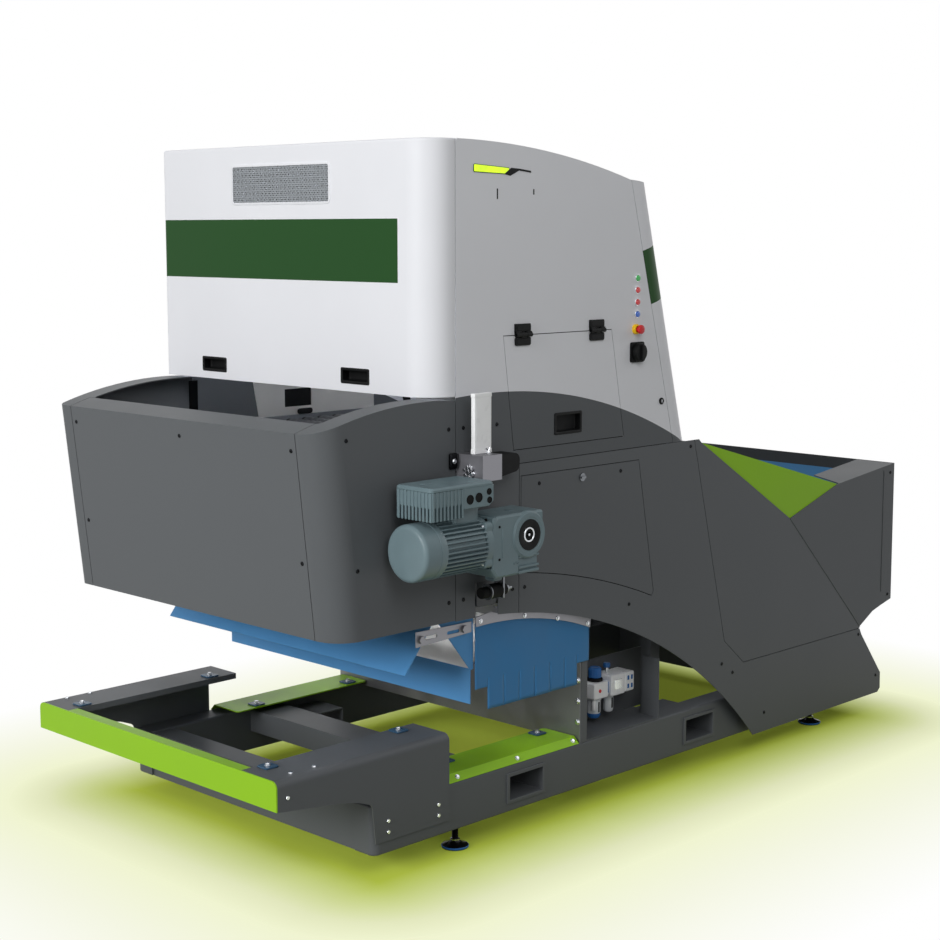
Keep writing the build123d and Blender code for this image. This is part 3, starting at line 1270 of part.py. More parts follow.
# Geared motor: fan cover, finned body, lobed end shield, gear housing, inverter and rotor with fan
fan_cover_rear = motor_front + fan_cover_length
shield_front = motor_rear - shield_length
fin_reach = motor_radius - motor_core
with BuildPart(machine) as motor:
    with BuildSketch(across(fan_cover_rear)):
        with Locations((-motor_y, motor_z)):
            Circle(motor_core)
            with PolarLocations(motor_core + fin_reach / 2 - motor_fin / 2, motor_fins):
                Rectangle(fin_reach + motor_fin, motor_fin)
    extrude(amount=shield_front - fan_cover_rear)
    with BuildSketch(across(shield_front)):
        with Locations((-motor_y, motor_z)):
            Circle(motor_core + fin_reach / 2)
            with PolarLocations(motor_radius - shield_lobe / 2, shield_lobes, start_angle=180 / shield_lobes):
                Circle(shield_lobe)
    extrude(amount=shield_length)
    with BuildSketch(across(fan_cover_rear)):
        with Locations((-motor_y, motor_z)):
            Circle(rotor_radius + running_clearance)
    extrude(amount=motor_rear - fan_cover_rear, mode=Mode.SUBTRACT)
    with Locations((neck_x, -motor_y, (motor_z + neck_low + inverter_split) / 2)):
        Box(neck_length, neck_width, inverter_split - motor_z - neck_low)
    with BuildSketch(across(motor_front)):
        with Locations((-motor_y, motor_z)):
            Circle(motor_radius)
    extrude(amount=fan_cover_length)
    fillet(motor.edges().filter_by(GeomType.CIRCLE).sort_by(Axis.X)[0], fan_cover_round)
    hollow_steps = ((fan_cover_wall, fan_cover_round + fan_cover_wall), (fan_cover_round, 2 * fan_cover_wall))
    for start, inset in hollow_steps:
        with BuildSketch(across(motor_front + start)):
            with Locations((-motor_y, motor_z)):
                Circle(motor_radius - inset)
        extrude(amount=fan_cover_length - start, mode=Mode.SUBTRACT)
    with BuildSketch(across(fan_cover_rear)):
        with Locations((-motor_y, motor_z)):
            Circle(motor_radius)
            Circle(rotor_radius + running_clearance, mode=Mode.SUBTRACT)
    extrude(amount=fan_cover_lap)
save(motor, "motor")

gear_near = motor_y + gear_half
spigot_length = motor_y - gear_half - half_width
with BuildPart(machine) as gear_case:
    with BuildSketch(along(-motor_y + gear_half)) as gear_shape:
        Polygon((motor_rear, gear_bottom + input_rise), (motor_rear + input_toe, gear_bottom),
                (gear_rear - gear_step, gear_bottom), (gear_rear - gear_step, gear_step_z),
                (gear_rear, gear_shoulder_z), (gear_rear, gear_top), (motor_rear + input_toe, gear_top),
                (motor_rear, gear_top - input_drop))
        fillet(gear_shape.vertices(), gear_round)
    extrude(amount=2 * gear_half)
    with BuildSketch(along(-gear_near)):
        Polygon((rib_left, gear_bottom), (gear_rear, gear_bottom), (gear_rear, gear_step_z),
                (rib_left, gear_step_z))
        with Locations(*[((rib_left + gear_rear) / 2, z) for z in (rib_low, rib_high)]):
            Rectangle(gear_rear - rib_left, rib_thick, mode=Mode.SUBTRACT)
    extrude(amount=-rib_depth, mode=Mode.SUBTRACT)
    with BuildSketch(along(-gear_near)):
        with Locations((drive_x, drive_z)):
            Circle(gear_cover_radius)
    extrude(amount=gear_cover_thick)
    with BuildSketch(along(-gear_near)):
        with Locations((drive_x, drive_z)):
            Circle(gear_cover_radius)
    extrude(amount=-rib_depth)
    with BuildSketch(along(-half_width)):
        with Locations((drive_x, drive_z)):
            Circle(spigot_radius)
    extrude(amount=spigot_length)
    with BuildSketch(along(-half_width)):
        with Locations((drive_x, drive_z)):
            Circle(hollow_radius + running_clearance)
    extrude(amount=gear_near + gear_cover_thick - half_width, mode=Mode.SUBTRACT)
    with BuildSketch(along(-half_width)):
        with Locations((drive_x, drive_z)):
            Circle(spigot_bore)
    extrude(amount=spigot_length, mode=Mode.SUBTRACT)
save(gear_case, "gear_case")

with BuildPart(machine) as inverter:
    with BuildSketch(across(inverter_front)) as inverter_shape:
        with Locations((-motor_y, (inverter_top + inverter_split) / 2)):
            Rectangle(2 * inverter_half, inverter_top - inverter_split)
        fillet(inverter_shape.vertices().group_by(Axis.Y)[-1], inverter_round)
    extrude(amount=inverter_rear - inverter_front)
    fin_rows = int((inverter_rear - inverter_front) / inverter_fin_pitch)
    fin_xs = [inverter_front + inverter_fin_pitch * (i + 0.5) for i in range(fin_rows)]
    fin_y = inverter_half - inverter_fin_depth / 2
    fin_z = (inverter_split + inverter_bottom) / 2
    with Locations(*[(x, -motor_y + side * fin_y, fin_z) for x in fin_xs for side in (-1, 1)]):
        Box(inverter_fin, inverter_fin_depth, inverter_split - inverter_bottom)
    with BuildSketch(along(-motor_y - inverter_half)):
        with Locations(*plug_large):
            Circle(plug_large_radius)
        with Locations(*plug_small):
            Circle(plug_small_radius)
    extrude(amount=-plug_depth, mode=Mode.SUBTRACT)
save(inverter, "inverter")

fan_radius = motor_radius - fan_tip_gap
with BuildPart(machine) as motor_rotor:
    with BuildSketch(across(motor_front + rotor_inset)):
        with Locations((-motor_y, motor_z)):
            Circle(rotor_radius)
    extrude(amount=motor_rear - motor_front - rotor_inset - rotor_end_gap)
    with BuildSketch(across(motor_front + fan_start)):
        with Locations((-motor_y, motor_z)):
            Circle(fan_radius)
    extrude(amount=fan_plate)
    with BuildSketch(across(motor_front + fan_start + fan_plate)):
        with Locations((-motor_y, motor_z)):
            with PolarLocations(fan_radius / 2, fan_blades):
                Rectangle(fan_radius - 2 * fan_blade, fan_blade)
    extrude(amount=fan_depth)
save(motor_rotor, "motor_rotor")

# Shafts of the conveyor with their sprockets, bearings, chains and rollers
def shaft(x, z, near_end, discs):
    """Round bar across the machine with discs on it, each given by its middle, width and radius."""
    with BuildPart() as bar:
        with BuildSketch(along(shaft_end)):
            with Locations((x, z)):
                Circle(shaft_radius)
        extrude(amount=shaft_end + near_end)
        for y, width, radius in discs:
            with BuildSketch(along(y)):
                with Locations((x, z)):
                    Circle(radius)
            extrude(amount=width / 2, both=True)
    return bar


chain_wheels = [(side * chain_y, chain_width, sprocket_radius) for side in (-1, 1)]
drive_wheel = (-drive_chain_y, chain_width, drive_sprocket_radius)
hollow_length = gear_near - half_width
drive_shaft = shaft(drive_x, drive_z, gear_near + 4,
                    [drive_wheel, (-half_width - 4 - hollow_length / 2, hollow_length, hollow_radius)])
save(drive_shaft, "drive_shaft")
head_shaft = shaft(head_x, head_z, shaft_end,
                   [*chain_wheels, drive_wheel, (0, 2 * (roller_half - rail_thick), sprocket_radius)])
save(head_shaft, "head_shaft")
idler_shaft = shaft(idler_x, idler_z, shaft_end, chain_wheels)
save(idler_shaft, "idler_shaft")
tail_shaft = shaft(tail_x, tail_z, shaft_end, chain_wheels)
save(tail_shaft, "tail_shaft")

with BuildPart() as bearing_blocks:
    for x, z, outer in ((head_x, head_z, strap_inner), (drive_x, drive_z, panel_inner),
                        (idler_x, idler_z, panel_inner), (tail_x, tail_z, panel_inner)):
        with BuildSketch(along(-outer + bearing_depth)):
            with Locations((x, z)):
                RectangleRounded(bearing_size, bearing_size, bearing_round)
                Circle(shaft_radius + running_clearance, mode=Mode.SUBTRACT)
        extrude(amount=bearing_depth)
    mirror(about=centre_plane)
save(bearing_blocks, "bearing_blocks")

with BuildPart() as chains:
    for extra, mode in ((chain_slack + chain_thick, Mode.ADD), (chain_slack, Mode.SUBTRACT)):
        for side in (-1, 1):
            with BuildSketch(along(side * chain_y)):
                with BuildLine():
                    for x, z in ((head_x, head_z), (knee_x, head_z), (tail_x, tail_z), (idler_x, idler_z)):
                        CenterArc((x, z), sprocket_radius + extra, 0, 360)
                make_hull()
            extrude(amount=chain_width / 2, both=True, mode=mode)
    drive_run = hypot(head_x - drive_x, head_z - drive_z)
    chain_inner = drive_sprocket_radius + chain_slack
    drive_tilt = degrees(atan2(head_z - drive_z, head_x - drive_x))
    with BuildSketch(along(-drive_chain_y)):
        with Locations(((head_x + drive_x) / 2, (head_z + drive_z) / 2)):
            SlotCenterToCenter(drive_run, 2 * (chain_inner + chain_thick), rotation=drive_tilt)
            SlotCenterToCenter(drive_run, 2 * chain_inner, rotation=drive_tilt, mode=Mode.SUBTRACT)
    extrude(amount=chain_width / 2, both=True)
save(chains, "chains")

flat_rollers = int((knee_x - head_x - 2 * sprocket_radius) / roller_pitch)
slope_rollers = int((incline - 2 * roller_pitch) / roller_pitch)
roller_places = [(knee_x - roller_pitch * i, roller_line) for i in range(flat_rollers)]
roller_places += [on_line(roller_pitch * (i + 1), 0) for i in range(slope_rollers)]
with BuildPart() as carrier_rollers:
    with BuildSketch(along(roller_half)):
        with Locations(*roller_places):
            Circle(roller_radius)
    extrude(amount=2 * roller_half)
save(carrier_rollers, "carrier_rollers")

# Stainless sheets: product guides over the rollers, slide and adjuster of the chutes
guide_low = roller_line + rail_above
with BuildPart() as product_guides:
    for side in (-1, 1):
        with BuildSketch(along(side * guide_y)):
            Polygon((guide_front, guide_low), (guide_nose, guide_low + guide_nose_rise),
                    (guide_nose, guide_top), (guide_rear, guide_top), (guide_rear, guide_low))
            with Locations((window_x, guide_low + window_rise)):
                Rectangle(window_length, window_height, mode=Mode.SUBTRACT)
        extrude(amount=guide_thick / 2, both=True)
    slide_foot = (lip_x + chute_sheet, lip_high)
    slide_run = Vector(slide_top[0] - slide_foot[0], slide_top[1] - slide_foot[1]).normalized()
    slide_over = slide_thick / slide_run.X
    with BuildSketch(along(chute_half)):
        Polygon(slide_foot, slide_top,
                (slide_top[0] - slide_thick * slide_run.Y, slide_top[1] + slide_thick * slide_run.X),
                (slide_foot[0], slide_foot[1] + slide_over))
    extrude(amount=2 * chute_half)
save(product_guides, "product_guides")

# Stainless fittings: bulkhead, curtain strip, lubricator bracket and chute adjuster
with BuildPart(machine) as steel_fittings:
    with Locations((bulkhead_x + bulkhead_thick / 2, 0, (beam_top + bulkhead_top) / 2)):
        Box(bulkhead_thick, 2 * (beam_outer - seam_gap), bulkhead_top - beam_top)
    with BuildSketch(along(-curtain_y - curtain_thick / 2)):
        with BuildLine():
            ThreePointArc(*curtain_arc)
            Polyline(curtain_arc[2], (band_arc[2][0], band_arc[2][1] + strip_lap))
            strip_top = (band_arc[0][0], band_arc[0][1] + strip_lap_left)
            ThreePointArc(*[(x, z + strip_lap) for x, z in band_arc[:0:-1]], strip_top)
            Polyline(strip_top, curtain_arc[0])
        make_face()
    extrude(amount=curtain_thick)
    strip_outer = curtain_y + 1.5 * curtain_thick
    with Locations(*[(x, -(panel_inner + strip_outer) / 2, z) for x, z in clip_places]):
        Box(clip_width, panel_inner - strip_outer, clip_height)
    bracket_mid = (bracket_left + bracket_right) / 2
    bracket_mid_z = (bracket_low + bracket_high) / 2
    bracket_y = -half_width - bracket_depth / 2
    with Locations((bracket_mid, bracket_y, bracket_mid_z)):
        Box(bracket_right - bracket_left, bracket_depth, bracket_high - bracket_low)
    with Locations((bracket_mid, bracket_y + sheet, bracket_mid_z - sheet)):
        Box(bracket_right - bracket_left - 2 * sheet, bracket_depth, bracket_high - bracket_low,
            mode=Mode.SUBTRACT)
    with BuildSketch(across(bracket_left)):
        with Locations((bracket_y, bracket_bolt_z)):
            with PolarLocations(bracket_nut_circle, bracket_nuts):
                Circle(bracket_nut)
            Circle(bracket_nut)
    extrude(amount=-bracket_nut_depth)
    with BuildSketch(along(-cheek_outer)):
        Polygon((adjuster_left, adjuster_low), (lip_x, adjuster_low + adjuster_toe),
                (lip_x, adjuster_high - adjuster_heel), (adjuster_left, adjuster_high))
        with Locations(*[(x, (adjuster_low + adjuster_high) / 2) for x in adjuster_slots]):
            SlotOverall(adjuster_slot, adjuster_slot_width, mode=Mode.SUBTRACT)
    extrude(amount=sheet)
    with BuildSketch(along(-cheek_outer - sheet)):
        with Locations(*adjuster_nuts):
            RegularPolygon(adjuster_nut, 6)
    extrude(amount=adjuster_nut_depth)
save(steel_fittings, "steel_fittings")

with BuildPart() as lubricator:
    with BuildSketch(level(bracket_high)):
        with Locations((lube_x, lube_y)):
            RectangleRounded(lube_width, lube_depth, lube_round)
    extrude(amount=lube_height)
    fillet(lubricator.faces().sort_by(Axis.Z)[-1].edges(), lube_top_round)
save(lubricator, "lubricator")

# Blue chutes: hinged upper flap, fixed lower lip with its cheeks
flap_run = hypot(flap_axis_x - flap_lip_x, flap_axis_z - flap_lip_z)
flap_dir = ((flap_lip_x - flap_axis_x) / flap_run, (flap_lip_z - flap_axis_z) / flap_run)
flap_side = (flap_dir[1], -flap_dir[0])


def on_flap(run, height):
    """Point of the flap's section: run from its axis and height across it."""
    return (flap_axis_x + flap_dir[0] * run + flap_side[0] * height,
            flap_axis_z + flap_dir[1] * run + flap_side[1] * height)


with BuildPart() as chute_flap:
    with BuildSketch(along(chute_half)):
        with Locations((flap_axis_x, flap_axis_z)):
            Circle(flap_hub)
        Polygon(on_flap(0, flap_hub), on_flap(flap_run, flap_hub), on_flap(flap_run, flap_hub - chute_sheet),
                on_flap(0, flap_hub - chute_sheet))
        with Locations((flap_axis_x, flap_axis_z)):
            Circle(flap_rod + running_clearance, mode=Mode.SUBTRACT)
    extrude(amount=2 * chute_half)
save(chute_flap, "chute_flap")

with BuildPart() as chute_lower:
    with BuildSketch(along(cheek_inner)):
        Polygon((lip_x, lip_low), (lip_x + chute_sheet, lip_low),
                (lip_x + chute_sheet, lip_high + chute_sheet), (lip_x, lip_high + chute_sheet))
    extrude(amount=2 * cheek_inner)
    for y in (-cheek_inner, cheek_outer):
        with BuildSketch(along(y)):
            Polygon((lip_x, lip_high), (lip_x + cheek_lap, lip_high + chute_sheet),
                    (lip_x + cheek_lap, cheek_shoulder), (lip_x - cheek_step, cheek_top),
                    (flap_axis_x - cheek_toe, cheek_top), (flap_axis_x - cheek_toe, cheek_front_low))
        extrude(amount=cheek_thick)
save(chute_lower, "chute_lower")

with BuildPart() as curtain:
    with BuildSketch(along(-curtain_y + curtain_thick / 2)):
        with BuildLine():
            ThreePointArc(*[(x, z + curtain_lap) for x, z in curtain_arc])
            Polyline((curtain_arc[2][0], curtain_arc[2][1] + curtain_lap), (curtain_right, curtain_end_low),
                     (curtain_steps[1], curtain_end_low), (curtain_steps[1], curtain_low),
                     (curtain_steps[0], curtain_low), (curtain_steps[0], curtain_end_low),
                     (curtain_left, curtain_end_low), (curtain_arc[0][0], curtain_arc[0][1] + curtain_lap))
        make_face()
        with Locations(*[(slit_first + slit_pitch * i, curtain_low) for i in range(slit_count)]):
            Rectangle(slit_width, slit_top - curtain_low, align=(Align.CENTER, Align.MIN), mode=Mode.SUBTRACT)
    extrude(amount=curtain_thick)
save(curtain, "curtain")

# Sorting fingers on their bar, cameras and lamps
with BuildPart() as reject_fingers:
    finger_ys = [finger_pitch * (i - (finger_count - 1) / 2) for i in range(finger_count)]
    for y in finger_ys:
        with BuildSketch(along(y)):
            with Locations((finger_bar_x, finger_bar_z)):
                Circle(finger_hub)
            Polygon((finger_bar_x - finger_hub, finger_bar_z),
                    (finger_bar_x - finger_hub + finger_thick, finger_bar_z),
                    (finger_bar_x - finger_hub + finger_thick - finger_rake, finger_bar_z - finger_length),
                    (finger_bar_x - finger_hub - finger_rake, finger_bar_z - finger_length))
        extrude(amount=finger_width / 2, both=True)
    with BuildSketch(along(finger_ys[-1])):
        with Locations((finger_bar_x, finger_bar_z)):
            Circle(finger_sleeve)
    extrude(amount=finger_ys[-1] - finger_ys[0])
    with BuildSketch(along(half_width)):
        with Locations((finger_bar_x, finger_bar_z)):
            Circle(finger_bar_radius + running_clearance)
    extrude(amount=2 * half_width, mode=Mode.SUBTRACT)
save(reject_fingers, "reject_fingers")

camera_top = camera_beam_z - camera_beam_size / 2
camera_ys = [camera_pitch * (i - (camera_count - 1) / 2) for i in range(camera_count)]
with BuildPart(machine) as cameras:
    with Locations(*[(camera_beam_x, y, camera_top) for y in camera_ys]):
        Box(camera_body, camera_body, camera_length, align=downward)
    with Locations(*[(camera_beam_x, y, camera_top - camera_length) for y in camera_ys]):
        Cylinder(lens_radius, lens_length, align=downward)
    with Locations(*[(x, 0, lamp_z) for x in lamp_xs]):
        Box(lamp_width, 2 * panel_inner, lamp_height)
save(cameras, "cameras")
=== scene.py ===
import math

import bmesh
import bpy
import numpy as np
from bpy.props import FloatProperty, FloatVectorProperty, IntProperty, PointerProperty
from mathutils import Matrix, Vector


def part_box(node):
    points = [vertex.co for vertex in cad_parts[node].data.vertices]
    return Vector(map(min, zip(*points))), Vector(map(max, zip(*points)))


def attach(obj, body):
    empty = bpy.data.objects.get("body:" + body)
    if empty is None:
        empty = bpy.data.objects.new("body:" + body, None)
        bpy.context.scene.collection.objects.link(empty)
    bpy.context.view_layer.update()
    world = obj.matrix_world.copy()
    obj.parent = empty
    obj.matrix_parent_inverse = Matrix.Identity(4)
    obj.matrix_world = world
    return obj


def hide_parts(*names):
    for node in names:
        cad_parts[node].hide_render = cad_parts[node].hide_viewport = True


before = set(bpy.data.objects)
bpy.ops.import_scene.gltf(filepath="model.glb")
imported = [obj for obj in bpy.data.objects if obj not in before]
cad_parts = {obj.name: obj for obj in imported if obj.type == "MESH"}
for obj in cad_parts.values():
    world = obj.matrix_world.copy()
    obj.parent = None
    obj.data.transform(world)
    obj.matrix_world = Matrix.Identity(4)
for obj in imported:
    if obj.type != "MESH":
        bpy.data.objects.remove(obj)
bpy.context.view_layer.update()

bl_info = {
    "name": "Crop grading machine",
    "version": (1, 0, 0),
    "blender": (4, 5, 0),
    "location": "3D View > Sidebar > Grader",
    "description": "Dresses the packed grading machine with detailed pieces, finishes and a studio",
    "category": "Object",
}

MM = 0.001
SHARP_ANGLE = 38.0

# Places are given as on the machine: x from the front feet towards the hopper, y from the centre plane
# with the drive side negative, z from the floor, all in millimetres.
FOOT_RADIUS = 50.0
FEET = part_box("foot_pads")
FEET_X = FEET[0][0] + FOOT_RADIUS * MM
CENTRE_Y = (FEET[0][1] + FEET[1][1]) / 2


def place(points):
    """Machine millimetres to the frame's metres: shift by the front feet and the centre plane."""
    return np.asarray(points, float) * MM + np.array([FEET_X, CENTRE_Y, 0.0])


def span(node):
    """Lowest and highest corner of a node, in machine millimetres."""
    shift = np.array([FEET_X, CENTRE_Y, 0.0])
    low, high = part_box(node)
    return (np.array(low) - shift) / MM, (np.array(high) - shift) / MM


# Shapes


def circle(radius, count, start=0.0):
    """Closed outline of points at equal turns on a circle."""
    turn = start + np.arange(count) * 2 * np.pi / count
    return np.stack([radius * np.cos(turn), radius * np.sin(turn)], axis=1)


def rounded(points, radius, steps=5):
    """Outline whose corners are arcs: each arc's centre lies on the corner's bisector."""
    points = np.asarray(points, float)
    radius = np.broadcast_to(np.asarray(radius, float), len(points))[:, None]
    back = np.roll(points, 1, axis=0) - points
    ahead = np.roll(points, -1, axis=0) - points
    back /= np.linalg.norm(back, axis=1, keepdims=True)
    ahead /= np.linalg.norm(ahead, axis=1, keepdims=True)
    half = np.arccos(np.clip((back * ahead).sum(axis=1, keepdims=True), -1, 1)) / 2
    bisector = back + ahead
    bisector /= np.linalg.norm(bisector, axis=1, keepdims=True)
    centre = points + bisector * radius / np.sin(half)
    first = points + back * radius / np.tan(half) - centre
    last = points + ahead * radius / np.tan(half) - centre
    share = np.linspace(0, 1, steps)[None, :, None]
    arc = first[:, None] * (1 - share) + last[:, None] * share
    length = np.linalg.norm(arc, axis=2, keepdims=True)
    arc *= radius[:, :, None] / np.where(length > 1e-9, length, 1)
    return (centre[:, None] + arc).reshape(-1, 2)


def rectangle(width, height, radius, middle=(0, 0), steps=5):
    """Rounded rectangle about its middle."""
    corners = np.array([(-1, -1), (1, -1), (1, 1), (-1, 1)]) * (width / 2, height / 2)
    return rounded(corners + np.asarray(middle), radius, steps)


def inset(outline, amount):
    """Outline moved inwards along the mean of its two neighbouring edge normals."""
    edge = np.roll(outline, -1, axis=0) - outline
    edge /= np.maximum(np.linalg.norm(edge, axis=1, keepdims=True), 1e-9)
    normal = np.stack([-edge[:, 1], edge[:, 0]], axis=1)
    mean = normal + np.roll(normal, 1, axis=0)
    mean /= np.maximum((mean * mean).sum(axis=1, keepdims=True), 1e-3) / 2
    return outline + mean * amount


class Form:
    """Collects grids of points and flat ends in machine millimetres, and makes one mesh of them."""

    def __init__(self):
        self.points = []
        self.faces = []
        self.finish = []
        self.count = 0

    def grid(self, points, wrap_u=False, wrap_v=True, finish=0):
        """Quads between neighbours of a grid of points, closed round where it wraps."""
        rows, columns = points.shape[:2]
        index = np.arange(rows * columns).reshape(rows, columns) + self.count
        index = np.concatenate([index, index[:1]]) if wrap_u else index
        index = np.concatenate([index, index[:, :1]], axis=1) if wrap_v else index
        quads = np.stack([index[:-1, :-1], index[1:, :-1], index[1:, 1:], index[:-1, 1:]], axis=2).reshape(-1, 4)
        self.points.append(points.reshape(-1, 3))
        self.faces += quads.tolist()
        self.finish += [finish] * len(quads)
        self.count += rows * columns

    def cap(self, ring, finish=0):
        """One flat face inside a ring of points."""
        self.points.append(ring)
        self.faces.append(list(range(self.count, self.count + len(ring))))
        self.finish.append(finish)
        self.count += len(ring)

    def prism(self, outline, origin, right, up, depth, bevel=0.0, finish=0):
        """Outline on a plane, pushed along the plane's normal by depth, with its two rims bevelled."""
        right, up = np.asarray(right, float), np.asarray(up, float)
        out = np.cross(right, up) * np.sign(depth)
        depth = abs(depth)
        outline = np.asarray(outline, float)
        levels = [(bevel, 0.0), (0.0, bevel), (0.0, depth - bevel), (bevel, depth)] if bevel else [(0, 0), (0, depth)]
        rings = [np.asarray(origin) + flat[:, :1] * right + flat[:, 1:] * up + out * height
                 for flat, height in ((inset(outline, away), height) for away, height in levels)]
        self.grid(np.stack(rings), finish=finish)
        self.cap(rings[0], finish)
        self.cap(rings[-1], finish)

    def slab(self, low, high, bevel=1.0, finish=0):
        """Box between two corners with bevelled edges along x."""
        low, high = np.asarray(low, float), np.asarray(high, float)
        size, middle = high - low, (low + high) / 2
        outline = rectangle(size[1], size[2], min(2 * bevel, size[1] / 2.1, size[2] / 2.1), steps=3)
        self.prism(outline, (low[0], middle[1], middle[2]), (0, 1, 0), (0, 0, 1), size[0],
                   min(bevel, size[0] / 3), finish)

    def lathe(self, profile, origin, axis, count=32, finish=0, flutes=None):
        """Profile of radius and height turned round an axis, its radius scaled by flutes round the turn."""
        profile = np.asarray(profile, float)
        axis = np.asarray(axis, float) / np.linalg.norm(axis)
        helper = np.array([0, 0, 1.0]) if abs(axis[2]) < 0.9 else np.array([1.0, 0, 0])
        right = np.cross(helper, axis)
        right /= np.linalg.norm(right)
        up = np.cross(axis, right)
        ring = circle(1.0, count)
        if flutes is not None:
            ring = ring * flutes[:, None]
        spokes = ring[:, :1] * right + ring[:, 1:] * up
        grid = np.asarray(origin) + profile[:, None, :1] * spokes[None] + profile[:, None, 1:] * axis
        self.grid(grid, finish=finish)

    def tube(self, path, radius, count=12, finish=0):
        """Circle carried along a path, square to the path's mean direction at each point."""
        path = np.asarray(path, float)
        along = np.gradient(path, axis=0)
        along /= np.linalg.norm(along, axis=1, keepdims=True)
        helper = np.where(np.abs(along[:, 2:]) < 0.9, [[0, 0, 1.0]], [[1.0, 0, 0]])
        right = np.cross(helper, along)
        right /= np.linalg.norm(right, axis=1, keepdims=True)
        up = np.cross(along, right)
        ring = circle(radius, count)
        grid = path[:, None] + ring[None, :, :1] * right[:, None] + ring[None, :, 1:] * up[:, None]
        self.grid(grid, finish=finish)
        self.cap(grid[0], finish)
        self.cap(grid[-1], finish)

    def copies(self, other, shifts):
        """Another form set down once at each shift."""
        shifts = np.asarray(shifts, float).reshape(-1, 3)
        points = np.concatenate(other.points)
        for shift in shifts:
            self.points.append(points + shift)
            self.faces += [[corner + self.count for corner in face] for face in other.faces]
            self.finish += other.finish
            self.count += len(points)

    def mirrored(self):
        """The same form on the other side of the centre plane as well."""
        points = np.concatenate(self.points)
        faces, finish = list(self.faces), list(self.finish)
        self.points.append(points * (1, -1, 1))
        self.faces += [[corner + self.count for corner in face[::-1]] for face in faces]
        self.finish += finish
        self.count += len(points)

    def piece(self, name, body, finishes, stands_for=()):
        """One object riding on a body: doubles merged, faces turned outwards, edges over an angle kept sharp."""
        mesh = bpy.data.meshes.new(name)
        mesh.from_pydata(place(np.concatenate(self.points)).tolist(), [], self.faces)
        mesh.polygons.foreach_set("material_index", np.array(self.finish, dtype=np.int32))
        for finish in finishes:
            mesh.materials.append(finish)
        shape = bmesh.new()
        shape.from_mesh(mesh)
        bmesh.ops.remove_doubles(shape, verts=shape.verts, dist=2e-6)
        bmesh.ops.recalc_face_normals(shape, faces=shape.faces)
        shape.to_mesh(mesh)
        shape.free()
        mesh.polygons.foreach_set("use_smooth", np.ones(len(mesh.polygons), dtype=bool))
        mesh.set_sharp_from_angle(angle=math.radians(SHARP_ANGLE))
        made = bpy.data.objects.new(name, mesh)
        bpy.context.scene.collection.objects.link(made)
        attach(made, body)
        if stands_for:
            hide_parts(*stands_for)
        return made


# Finishes


def linear(hexa):
    """An sRGB hex colour as linear light."""
    coded = np.array([int(hexa[i:i + 2], 16) for i in (1, 3, 5)]) / 255
    light = np.where(coded <= 0.04045, coded / 12.92, ((coded + 0.055) / 1.055) ** 2.4)
    return tuple(light.tolist())


def node(tree, kind, feed=None, **settings):
    """Adds a node with its settings, and fills its inputs with values or links."""
    made = tree.nodes.new(kind)
    for key, value in settings.items():
        setattr(made, key, value)
    for key, value in (feed or {}).items():
        if isinstance(value, bpy.types.NodeSocket):
            tree.links.new(value, made.inputs[key])
        else:
            made.inputs[key].default_value = value
    return made


def fresh(name, **sockets):
    """New material: its node tree, its Object coordinates and its shader with these constants set."""
    made = bpy.data.materials.new(name)
    made.use_nodes = True
    tree = made.node_tree
    shader = tree.nodes["Principled BSDF"]
    for key, value in sockets.items():
        shader.inputs[key.replace("_", " ").title().replace("Ior", "IOR")].default_value = value
    where = node(tree, "ShaderNodeTexCoord").outputs["Object"]
    return made, tree, where, shader


def mottle(tree, where, shader, colour, spread, size_mm, roughness, swing, zones=()):
    """Base colour that drifts a little lighter and darker over size_mm, and a roughness that drifts with it."""
    cloud = node(tree, "ShaderNodeTexNoise", {"Vector": where, "Scale": 1000 / size_mm, "Detail": 4.0})
    light = [min(1.0, part * (1 + spread)) for part in colour] + [1]
    dark = [part * (1 - spread) for part in colour] + [1]
    tint = node(tree, "ShaderNodeMix", {"Factor": cloud.outputs["Fac"], 6: dark, 7: light}, data_type="RGBA")
    shade = tint.outputs[2]
    for zone, zone_colour in zones:
        over = node(tree, "ShaderNodeMix", {"Factor": zone(tree, where), 6: shade, 7: [*zone_colour, 1]},
                    data_type="RGBA")
        shade = over.outputs[2]
    tree.links.new(shade, shader.inputs["Base Color"])
    polish = node(tree, "ShaderNodeMapRange", {"Value": cloud.outputs["Fac"], "From Min": 0.3, "From Max": 0.7,
                                               "To Min": roughness - swing, "To Max": roughness + swing})
    tree.links.new(polish.outputs["Result"], shader.inputs["Roughness"])
    return cloud


def relief(tree, where, shader, size_mm, depth_mm, strength=0.5, stretch=(1, 1, 1), detail=2.0):
    """Bumps of that size and depth, drawn out along an axis by stretch."""
    turned = node(tree, "ShaderNodeMapping", {"Vector": where, "Scale": stretch})
    grain = node(tree, "ShaderNodeTexNoise",
                 {"Vector": turned.outputs["Vector"], "Scale": 1000 / size_mm, "Detail": detail})
    bump = node(tree, "ShaderNodeBump", {"Height": grain.outputs["Fac"], "Strength": strength,
                                         "Distance": depth_mm * MM})
    tree.links.new(bump.outputs["Normal"], shader.inputs["Normal"])


def powder_coat(name, colour, zones=(), roughness=0.4, shine=0.16):
    """Powder-coated sheet steel: a cured film, softly glossy, with a fine orange-peel ripple.

    The ripple of a real coat is about 2 mm; it is drawn at 7 mm so that it shows from a few metres.
    """
    made, tree, where, shader = fresh(name, specular_ior_level=shine, ior=1.5)
    mottle(tree, where, shader, colour, 0.035, 420.0, roughness, 0.05, zones)
    relief(tree, where, shader, 7.0, 0.12, 0.35)
    return made


